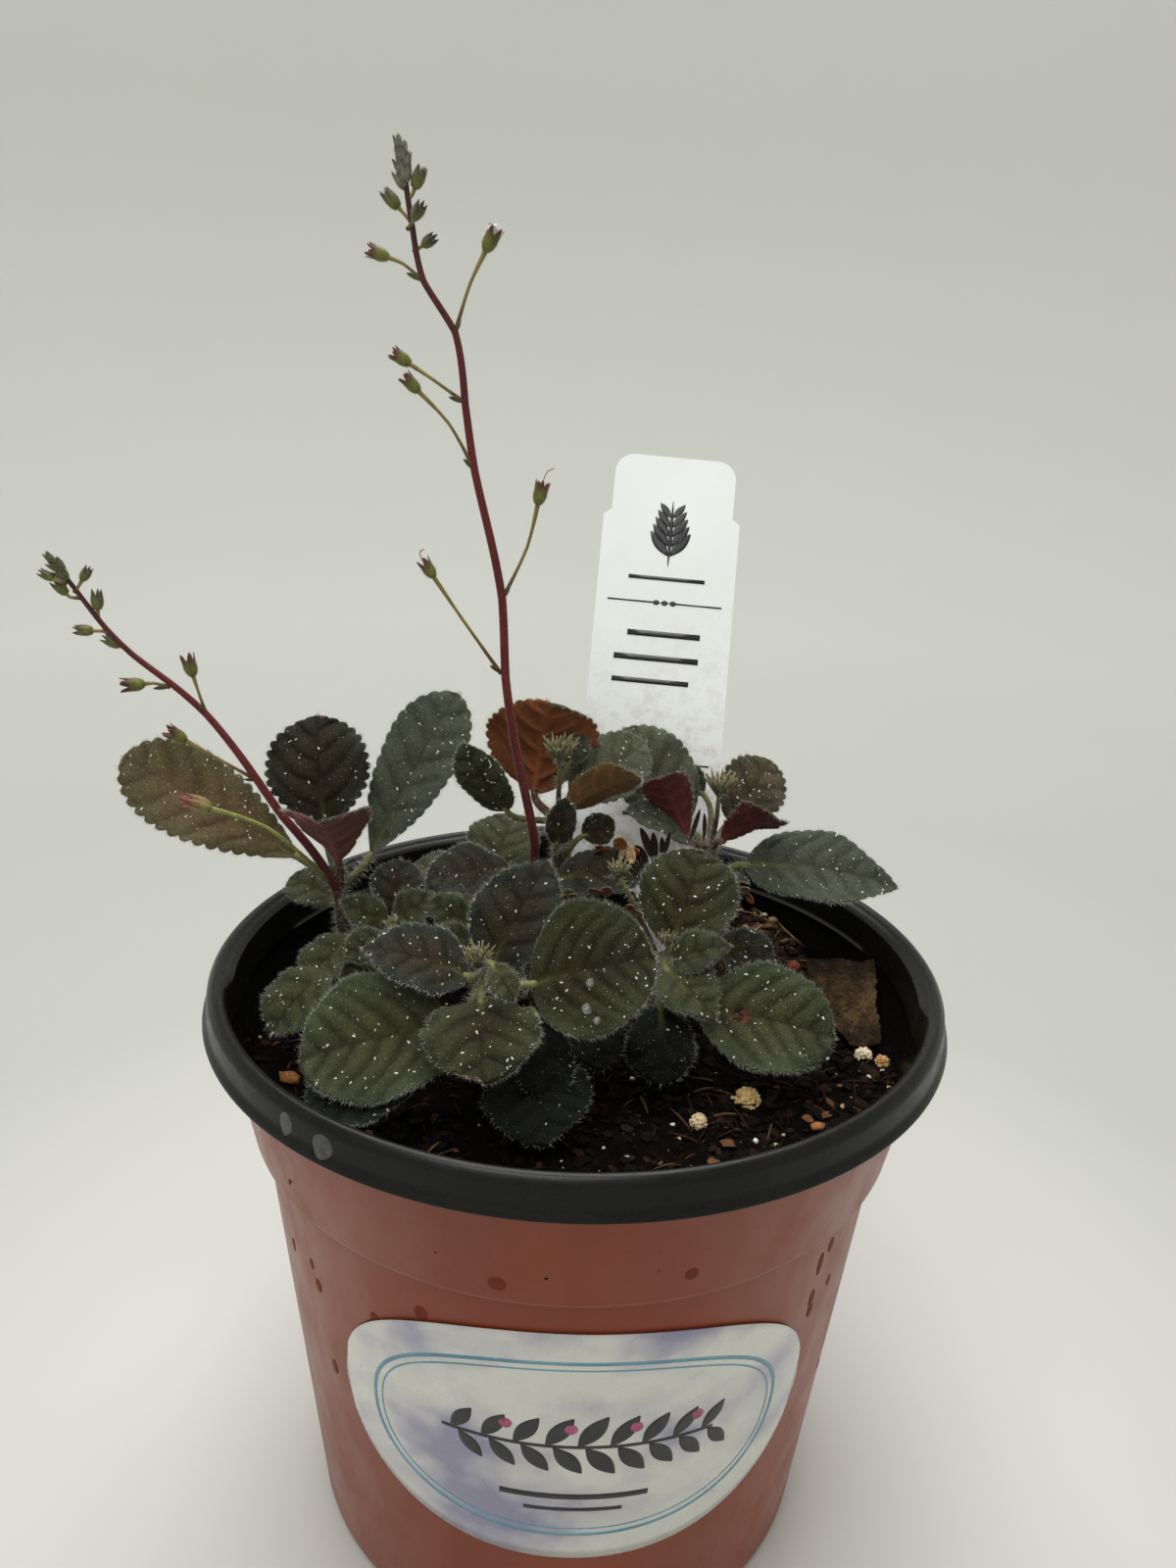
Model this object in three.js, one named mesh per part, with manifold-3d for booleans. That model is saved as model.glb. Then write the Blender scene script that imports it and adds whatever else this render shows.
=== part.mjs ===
// A potted Gloxinia erinoides: a two-colour nursery pot filled with potting mix, nine leafy
// shoots of velvety scalloped leaves, two racemes of small flowers and buds, and a plant label.
// Millimetres, +Z up, origin at the centre of the pot's flat base, -Y is the front.

import * as THREE from "three";
import { mergeVertices } from "three/addons/utils/BufferGeometryUtils.js";
import Module from "manifold-3d";

const wasm = await Module();
wasm.setup();

// Driving sizes of the pot
const POT_HEIGHT = 137;
const LIP_RADIUS = 81;
const LIP_INNER_RADIUS = 76;
const LIP_DROP = 7.5;
const COLLAR_TOP_RADIUS = 76.5;
const COLLAR_FOOT_RADIUS = 71.8;
const STEP_HEIGHT = 104;
const WALL_TOP_RADIUS = 69.5;
const BASE_RADIUS = 59.5;
const WALL = 1.2;
const POT_SEGMENTS = 48;
const LUG_DEPTH = 1.5;
const LUG_FLOOR = 128;
const LUG_START = 76;
const DRAIN_HOLES = 6;
const DRAIN_RADIUS = 4;
const DRAIN_CIRCLE = 42;

// Driving sizes of the filling
const GAP = 0.3;
const SOIL_HEIGHT = 115;
const SOIL_RELIEF = 1.1;
const ROOT_DEPTH = 16;

// Driving sizes of the label, the sticker and the leaves
const LABEL_WIDTH = 36;
const LABEL_HEAD_WIDTH = 32;
const LABEL_LENGTH = 158;
const LABEL_THICKNESS = 0.8;
const STICKER_HALF_WIDTH = 51;
const STICKER_HALF_HEIGHT = 31.5;
const STICKER_HEIGHT = 64;
const STICKER_TURN = 3.5;
const STICKER_THICKNESS = 0.6;
const LEAF_THICKNESS = 0.7;
const TOOTH_PITCH = 4;
const MOST_TEETH = 9;
const TOOTH_DEPTH = 0.1;
const FEWEST_TEETH = 4;
const RIB_PITCH = 9;
const CURVED_WIDTH = 15;
const SMALL_WIDTH = 12;
const STALK_RADIUS = 1.2;
const STEM_RADIUS = 2;

const colours = {
  terracotta: { color: 0x9a5540, roughness: 0.45, metalness: 0 },
  soil: { color: 0x1d1713, roughness: 0.95, metalness: 0 },
  leaf: { color: 0x4d5743, roughness: 0.85, metalness: 0 },
  raceme: { color: 0x6e2a33, roughness: 0.6, metalness: 0 },
  label: { color: 0xe6e6e2, roughness: 0.5, metalness: 0 },
  sticker: { color: 0xd5d3de, roughness: 0.25, metalness: 0 },
  perlite: { color: 0xd9c9a0, roughness: 0.9, metalness: 0 },
  dry_leaf: { color: 0x4a3a2b, roughness: 0.95, metalness: 0 },
};

const plant = new THREE.Group();

function addNode(name, geometry, finish) {
  geometry.computeVertexNormals();
  const mesh = new THREE.Mesh(geometry, new THREE.MeshStandardMaterial(finish));
  mesh.name = name;
  plant.add(mesh);
  return mesh;
}

// Solids for joining and cutting

function toSolid(geometry) {
  const bare = geometry.index ? geometry.toNonIndexed() : geometry.clone();
  for (const key of Object.keys(bare.attributes)) {
    if (key !== "position") bare.deleteAttribute(key);
  }
  const merged = mergeVertices(bare, 1e-4);
  const corners = merged.index.array;
  const kept = [];
  for (let i = 0; i < corners.length; i += 3) {
    const [a, b, c] = [corners[i], corners[i + 1], corners[i + 2]];
    if (a !== b && b !== c && c !== a) kept.push(a, b, c);
  }
  return new wasm.Manifold(new wasm.Mesh({
    numProp: 3,
    vertProperties: new Float32Array(merged.attributes.position.array),
    triVerts: new Uint32Array(kept),
  }));
}

function toGeometry(solid) {
  const mesh = solid.getMesh();
  const geometry = new THREE.BufferGeometry();
  geometry.setAttribute("position", new THREE.BufferAttribute(new Float32Array(mesh.vertProperties), 3));
  geometry.setIndex(Array.from(mesh.triVerts));
  return geometry;
}

function join(geometries) {
  return geometries.map(toSolid).reduce((sum, solid) => sum.add(solid));
}

// The largest connected body of a solid, so that no loose crumb stays behind a cut
function largestBody(solid) {
  return solid.decompose().reduce((a, b) => (a.volume() > b.volume() ? a : b));
}

const vec = (p) => new THREE.Vector3(...p);

function closedGeometry(vertices, faces) {
  const geometry = new THREE.BufferGeometry();
  geometry.setAttribute("position", new THREE.BufferAttribute(new Float32Array(vertices), 3));
  geometry.setIndex(faces);
  return geometry;
}

// A round stalk along a smooth curve, tapering from one radius to the other, closed at both ends
function stalk(points, startRadius, endRadius, sides = 6, steps = 6) {
  const curve = new THREE.CatmullRomCurve3(points.map((p) => (p.isVector3 ? p : vec(p))));
  const frames = curve.computeFrenetFrames(steps, false);
  const geometry = new THREE.CylinderGeometry(endRadius, startRadius, 1, sides, steps);
  const position = geometry.attributes.position;
  const place = new THREE.Vector3();
  for (let i = 0; i < position.count; i += 1) {
    const ring = Math.round((position.getY(i) + 0.5) * steps);
    curve.getPointAt(ring / steps, place);
    place.addScaledVector(frames.normals[ring], position.getX(i));
    place.addScaledVector(frames.binormals[ring], -position.getZ(i));
    position.setXYZ(i, place.x, place.y, place.z);
  }
  return geometry;
}

// One leaf: an oval blade with rounded teeth, arched along its midrib and cupped across it, that
// grows out of its stalk in one closed surface. Both faces are split into triangles alike, from
// lines that run from base to tip. The stalk leaves the stem at the point from.

const WIDEST = 0.53;
const BASE_ROUNDNESS = 0.62;
const TIP_ROUNDNESS = BASE_ROUNDNESS * (1 - WIDEST) / WIDEST;

function halfWidthAt(t) {
  return (t / WIDEST) ** BASE_ROUNDNESS * ((1 - t) / (1 - WIDEST)) ** TIP_ROUNDNESS;
}

function leaf({ from, base, tip, width, face, arch = 0.1, cup = 0.12 }) {
  const start = vec(base);
  const along = vec(tip).sub(start);
  const length = along.length();
  along.normalize();
  const up = vec(face).addScaledVector(along, -vec(face).dot(along)).normalize();
  const across = new THREE.Vector3().crossVectors(up, along);

  const pointAt = (t, side) => {
    const half = halfWidthAt(t) * width / 2;
    const rise = 4 * arch * length * t * (1 - t) + cup * half * side * side;
    return start.clone().addScaledVector(along, t * length)
      .addScaledVector(across, side * half).addScaledVector(up, rise);
  };

  const points = [pointAt(0, 0), pointAt(1, 0)];
  const lineOf = (count, sideAt) => {
    const line = [{ t: 0, index: 0 }];
    for (let k = 1; k <= count; k += 1) {
      const t = (1 - Math.cos(Math.PI * k / (count + 1))) / 2;
      points.push(pointAt(t, sideAt(k)));
      line.push({ t, index: points.length - 1 });
    }
    line.push({ t: 1, index: 1 });
    return line;
  };

  const teeth = Math.min(MOST_TEETH, Math.max(FEWEST_TEETH, Math.round(length / TOOTH_PITCH)));
  const ribs = Math.min(4, Math.max(2, Math.round(length / RIB_PITCH)));
  const edge = (sign) => lineOf(2 * teeth, (k) => sign * (k % 2 ? 1 - TOOTH_DEPTH : 1));
  const middle = (sign) => (width < CURVED_WIDTH ? [] : [lineOf(ribs, () => sign * 0.5)]);
  const right = edge(-1);
  const left = edge(1);
  const lines = [right, ...middle(-1), lineOf(ribs, () => 0), ...middle(1), left];

  const triangles = [];
  const zip = (a, b) => {
    triangles.push([0, a[1].index, b[1].index]);
    let i = 1;
    let j = 1;
    while (i < a.length - 2 || j < b.length - 2) {
      const stepA = j === b.length - 2 || (i < a.length - 2 && a[i + 1].t <= b[j + 1].t);
      if (stepA) {
        triangles.push([a[i].index, a[i + 1].index, b[j].index]);
        i += 1;
      } else {
        triangles.push([a[i].index, b[j + 1].index, b[j].index]);
        j += 1;
      }
    }
    triangles.push([a[i].index, 1, b[j].index]);
  };
  for (let k = 0; k < lines.length - 1; k += 1) zip(lines[k], lines[k + 1]);

  const normals = points.map(() => new THREE.Vector3());
  for (const [a, b, c] of triangles) {
    const facet = points[b].clone().sub(points[a]).cross(points[c].clone().sub(points[a]));
    for (const corner of [a, b, c]) normals[corner].add(facet);
  }
  const vertices = [];
  for (const side of [1, -1]) {
    points.forEach((point, k) => {
      const offset = side * (k === 0 ? STALK_RADIUS * 0.6 : LEAF_THICKNESS / 2);
      vertices.push(point.clone().addScaledVector(normals[k].normalize(), offset));
    });
  }
  const count = points.length;
  const faces = [];
  for (const [a, b, c] of triangles) faces.push(a, b, c, count + a, count + c, count + b);
  const rim = [...right.slice(1), ...left.slice(1, -1).reverse()].map((entry) => entry.index);
  for (let k = 0; k < rim.length - 1; k += 1) {
    const [a, b] = [rim[k], rim[k + 1]];
    faces.push(a, count + a, b, b, count + a, count + b);
  }

  const stalkRadius = width > SMALL_WIDTH ? STALK_RADIUS : STALK_RADIUS * 0.75;
  const root = vec(from);
  const curve = new THREE.CubicBezierCurve3(
    root, root.clone().lerp(start, 0.4),
    start.clone().addScaledVector(along, -0.35 * root.distanceTo(start)), start);
  const steps = root.distanceTo(start) > 12 ? 4 : 2;
  const [topBase, bottomBase] = [0, count];
  vertices.push(start.clone().addScaledVector(across, -stalkRadius * 0.8));
  vertices.push(start.clone().addScaledVector(across, stalkRadius * 0.8));
  const [rightBase, leftBase] = [2 * count, 2 * count + 1];
  const [firstRim, lastRim] = [rim[0], rim[rim.length - 1]];
  faces.push(topBase, rightBase, firstRim, rightBase, bottomBase, count + firstRim);
  faces.push(rightBase, count + firstRim, firstRim);
  faces.push(lastRim, count + lastRim, leftBase, count + lastRim, bottomBase, leftBase);
  faces.push(lastRim, leftBase, topBase);

  let ring = [topBase, rightBase, bottomBase, leftBase];
  const frame = { tangent: along.clone(), up: up.clone(), right: across.clone().negate() };
  for (let k = steps - 1; k >= 0; k -= 1) {
    const tangent = curve.getTangent(k / steps);
    const turn = new THREE.Quaternion().setFromUnitVectors(frame.tangent, tangent);
    frame.up.applyQuaternion(turn);
    frame.right.applyQuaternion(turn);
    frame.tangent.copy(tangent);
    const place = curve.getPoint(k / steps);
    const next = [];
    for (const [u, r] of [[1, 0], [0, 1], [-1, 0], [0, -1]]) {
      next.push(vertices.length);
      vertices.push(place.clone().addScaledVector(frame.up, u * stalkRadius)
        .addScaledVector(frame.right, r * stalkRadius));
    }
    ring.forEach((a, i) => {
      const [b, c, d] = [ring[(i + 1) % 4], next[i], next[(i + 1) % 4]];
      faces.push(b, a, c, b, c, d);
    });
    ring = next;
  }
  faces.push(ring[0], ring[3], ring[2], ring[0], ring[2], ring[1]);
  return closedGeometry(vertices.flatMap((v) => v.toArray()), faces);
}

// A flower bud: a calyx cup whose rim stands up in five pointed lobes, on the end of its stalk

const CALYX = [[0, 0], [0.26, 0.07], [0.35, 0.45], [0.36, 1], [0.14, 0.6], [0, 0.5]];
const CALYX_SIDES = 10;
const CALYX_LOBE_RING = 3;
const CALYX_NOTCH = [0.3, 0.68];
const OPEN_BUD = 4;

function bud(place, direction, size) {
  const turn = new THREE.Quaternion().setFromUnitVectors(new THREE.Vector3(0, 1, 0), direction);
  if (size < OPEN_BUD) {
    const closed = new THREE.OctahedronGeometry(size / 2, 0).scale(0.62, 1, 0.62).translate(0, size / 2, 0);
    return closed.applyQuaternion(turn).translate(...place.toArray());
  }
  const profile = CALYX.map(([r, z]) => new THREE.Vector2(r * size, z * size));
  const calyx = new THREE.LatheGeometry(profile, CALYX_SIDES);
  const position = calyx.attributes.position;
  for (let column = 1; column < CALYX_SIDES; column += 2) {
    const i = column * profile.length + CALYX_LOBE_RING;
    const angle = 2 * Math.PI * column / CALYX_SIDES;
    const [r, z] = CALYX_NOTCH;
    position.setXYZ(i, r * size * Math.sin(angle), z * size, r * size * Math.cos(angle));
  }
  return calyx.applyQuaternion(turn).translate(...place.toArray());
}

// A tuft of small pointed buds round a core, on the tip of a shoot or a raceme
function tuft(centre, radius, count) {
  const parts = [new THREE.OctahedronGeometry(radius * 0.6, 0).translate(...centre)];
  for (let k = 0; k < count; k += 1) {
    const turn = 2.4 * k;
    const lean = 0.2 + 0.8 * Math.sqrt(k / count);
    const direction = new THREE.Vector3(
      Math.sin(lean) * Math.cos(turn), Math.sin(lean) * Math.sin(turn), Math.cos(lean));
    const spike = new THREE.ConeGeometry(radius * 0.28, radius * 1.5, 3);
    spike.translate(0, radius * 0.75, 0);
    spike.applyQuaternion(new THREE.Quaternion().setFromUnitVectors(new THREE.Vector3(0, 1, 0), direction));
    parts.push(spike.translate(...centre));
  }
  return parts;
}

// The pot: one turned wall with a rolled lip, a collar above a step, and a flat base.
// Behind the side notches the collar is pressed in, so that nested pots come apart.

function potGeometry() {
  const outer = [
    [0, 0], [BASE_RADIUS - 1.5, 0], [BASE_RADIUS, 2.5],
    [WALL_TOP_RADIUS, STEP_HEIGHT - 1.5], [COLLAR_FOOT_RADIUS, STEP_HEIGHT],
    [COLLAR_TOP_RADIUS, POT_HEIGHT - LIP_DROP],
  ];
  const lip = [
    [LIP_RADIUS, POT_HEIGHT - LIP_DROP - 0.4], [LIP_RADIUS - 1, POT_HEIGHT - LIP_DROP + 1.6],
    [LIP_RADIUS - 1.3, POT_HEIGHT - 1.4], [LIP_RADIUS - 2.4, POT_HEIGHT - 0.2],
    [LIP_INNER_RADIUS + 1.6, POT_HEIGHT], [LIP_INNER_RADIUS, POT_HEIGHT - 1.2],
  ];
  const inner = [
    [LIP_INNER_RADIUS - 0.7, LUG_FLOOR + 0.6], [LIP_INNER_RADIUS - 0.8, LUG_FLOOR - 0.6],
    [COLLAR_FOOT_RADIUS - WALL, STEP_HEIGHT + 1], [WALL_TOP_RADIUS - WALL, STEP_HEIGHT - 0.6],
    [BASE_RADIUS - WALL, 3], [BASE_RADIUS - 2.2, WALL], [0, WALL],
  ];
  const profile = [...outer, ...lip, ...inner].map(([r, z]) => new THREE.Vector2(r, z));
  const geometry = new THREE.LatheGeometry(profile, POT_SEGMENTS);
  geometry.rotateX(Math.PI / 2);
  const position = geometry.attributes.position;
  for (let i = 0; i < position.count; i += 1) {
    const [x, y, z] = [position.getX(i), position.getY(i), position.getZ(i)];
    const radius = Math.hypot(x, y);
    const fromFront = Math.abs(THREE.MathUtils.radToDeg(Math.atan2(x, -y)));
    const pressed = fromFront > LUG_START && z > LUG_FLOOR;
    if (pressed && radius < LIP_INNER_RADIUS + 0.1) {
      const scale = (radius - LUG_DEPTH) / radius;
      position.setXYZ(i, x * scale, y * scale, z);
    }
  }
  let solid = toSolid(geometry);
  for (let k = 0; k < DRAIN_HOLES; k += 1) {
    const turn = 2 * Math.PI * (k + 0.5) / DRAIN_HOLES;
    const hole = new THREE.CylinderGeometry(DRAIN_RADIUS, DRAIN_RADIUS, 6, 10).rotateX(Math.PI / 2);
    hole.translate(DRAIN_CIRCLE * Math.cos(turn), DRAIN_CIRCLE * Math.sin(turn), 0);
    solid = solid.subtract(toSolid(hole));
  }
  return toGeometry(solid);
}

// Height of the potting mix above its mean level, low humps that die out near the wall
function relief(x, y) {
  const fade = Math.max(0, 1 - (Math.hypot(x, y) / 74) ** 4);
  const humps = Math.sin(x / 9 + 1) * Math.cos(y / 8) + 0.6 * Math.sin(x / 5 - y / 6);
  return SOIL_RELIEF * humps * fade / 1.6;
}

function soilGeometry() {
  const floor = WALL + GAP;
  const profile = [
    [0, floor], [BASE_RADIUS - 2.8, floor], [BASE_RADIUS - WALL - GAP - 0.1, 3.2],
    [WALL_TOP_RADIUS - WALL - GAP - 0.1, STEP_HEIGHT - 0.6],
    [COLLAR_FOOT_RADIUS - WALL - GAP - 0.1, STEP_HEIGHT + 1.4],
    [COLLAR_FOOT_RADIUS + 0.2, SOIL_HEIGHT],
    [59, SOIL_HEIGHT], [42, SOIL_HEIGHT], [23, SOIL_HEIGHT], [0, SOIL_HEIGHT],
  ].map(([r, z]) => new THREE.Vector2(r, z));
  const geometry = new THREE.LatheGeometry(profile, POT_SEGMENTS);
  geometry.rotateX(Math.PI / 2);
  const position = geometry.attributes.position;
  for (let i = 0; i < position.count; i += 1) {
    const [x, y, z] = [position.getX(i), position.getY(i), position.getZ(i)];
    if (z > SOIL_HEIGHT - 0.01) position.setZ(i, z + relief(x, y));
  }
  return geometry;
}

// The plant label: a flat stake with a narrower head, leaning back behind the plant

const LABEL_FOOT = [12.5, 19, 97];
const LABEL_TOP = [21, 87, 240];
const LABEL_POINT_LENGTH = 42;
const LABEL_SHOULDER = 17;
const LABEL_CORNER = 5;
const LABEL_FRAME = (() => {
  const rise = vec(LABEL_TOP).sub(vec(LABEL_FOOT)).normalize();
  const side = new THREE.Vector3(1, 0, 0).addScaledVector(rise, -rise.x).normalize();
  const out = new THREE.Vector3().crossVectors(side, rise);
  return new THREE.Matrix4().makeBasis(side, rise, out).setPosition(...LABEL_FOOT);
})();

function labelOutline(grow) {
  const half = LABEL_WIDTH / 2 + grow;
  const head = LABEL_HEAD_WIDTH / 2 + grow;
  const top = LABEL_LENGTH;
  const shape = new THREE.Shape();
  const cornerX = head - LABEL_CORNER;
  const cornerY = top - LABEL_CORNER;
  shape.moveTo(-2 - grow, -grow);
  shape.lineTo(2 + grow, -grow);
  shape.lineTo(half, LABEL_POINT_LENGTH);
  shape.lineTo(half, top - LABEL_SHOULDER);
  shape.lineTo(head + 0.6, top - LABEL_SHOULDER + 1.5);
  shape.lineTo(head, cornerY);
  shape.absarc(cornerX, cornerY, LABEL_CORNER, 0, Math.PI / 2);
  shape.lineTo(-cornerX, top);
  shape.absarc(-cornerX, cornerY, LABEL_CORNER, Math.PI / 2, Math.PI);
  shape.lineTo(-head - 0.6, top - LABEL_SHOULDER + 1.5);
  shape.lineTo(-half, top - LABEL_SHOULDER);
  shape.lineTo(-half, LABEL_POINT_LENGTH);
  shape.closePath();
  return shape;
}

function labelGeometry(grow = 0) {
  const depth = LABEL_THICKNESS + 2 * grow;
  const geometry = new THREE.ExtrudeGeometry(labelOutline(grow), { depth, bevelEnabled: false, curveSegments: 4 });
  return geometry.translate(0, 0, -depth / 2).applyMatrix4(LABEL_FRAME);
}

// The oval sticker: a thin film on the tapered front wall. Its columns stand on the wall's own
// flats and half-way between them, so the film is parallel to the wall everywhere.

function stickerGeometry() {
  const column = 180 / POT_SEGMENTS;
  const middle = BASE_RADIUS + (WALL_TOP_RADIUS - BASE_RADIUS) * STICKER_HEIGHT / STEP_HEIGHT;
  const reach = THREE.MathUtils.radToDeg(STICKER_HALF_WIDTH / middle);
  const [first, last] = [STICKER_TURN - reach, STICKER_TURN + reach];
  const turns = [first];
  for (let turn = Math.ceil(first / column) * column; turn < last; turn += column) turns.push(turn);
  turns.push(last);
  const taper = (WALL_TOP_RADIUS - BASE_RADIUS) / (STEP_HEIGHT - 4);
  const vertices = [];
  for (const proud of [GAP + STICKER_THICKNESS, GAP]) {
    for (const turn of turns) {
      const share = Math.min(1, Math.abs(turn - STICKER_TURN) / reach);
      const rise = STICKER_HALF_HEIGHT * Math.sqrt(1 - share * share) + 0.4;
      for (const z of [STICKER_HEIGHT - rise, STICKER_HEIGHT + rise]) {
        const fromFlat = ((turn % (2 * column)) + 2 * column) % (2 * column) - column;
        const wall = BASE_RADIUS + taper * (z - 2.5);
        const flat = wall * Math.cos(THREE.MathUtils.degToRad(column));
        const radius = flat / Math.cos(THREE.MathUtils.degToRad(fromFlat)) + proud;
        const angle = THREE.MathUtils.degToRad(turn);
        vertices.push(radius * Math.sin(angle), -radius * Math.cos(angle), z);
      }
    }
  }
  const count = 2 * turns.length;
  const faces = [];
  const wall = (a, b) => faces.push(a, count + a, b, b, count + a, count + b);
  for (let k = 0; k < turns.length - 1; k += 1) {
    const [a, b, c, d] = [2 * k, 2 * k + 2, 2 * k + 3, 2 * k + 1];
    faces.push(a, b, c, a, c, d);
    faces.push(count + a, count + c, count + b, count + a, count + d, count + c);
    wall(a, b);
    wall(c, d);
  }
  wall(1, 0);
  wall(count - 2, count - 1);
  return closedGeometry(vertices, faces);
}

// The leafy shoots. Each has a stem from its root to its crown; each leaf row gives the base and
// the tip of its blade, its width, and which way its upper side looks. Its stalk leaves the stem
// at the crown, or at the point from.

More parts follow.
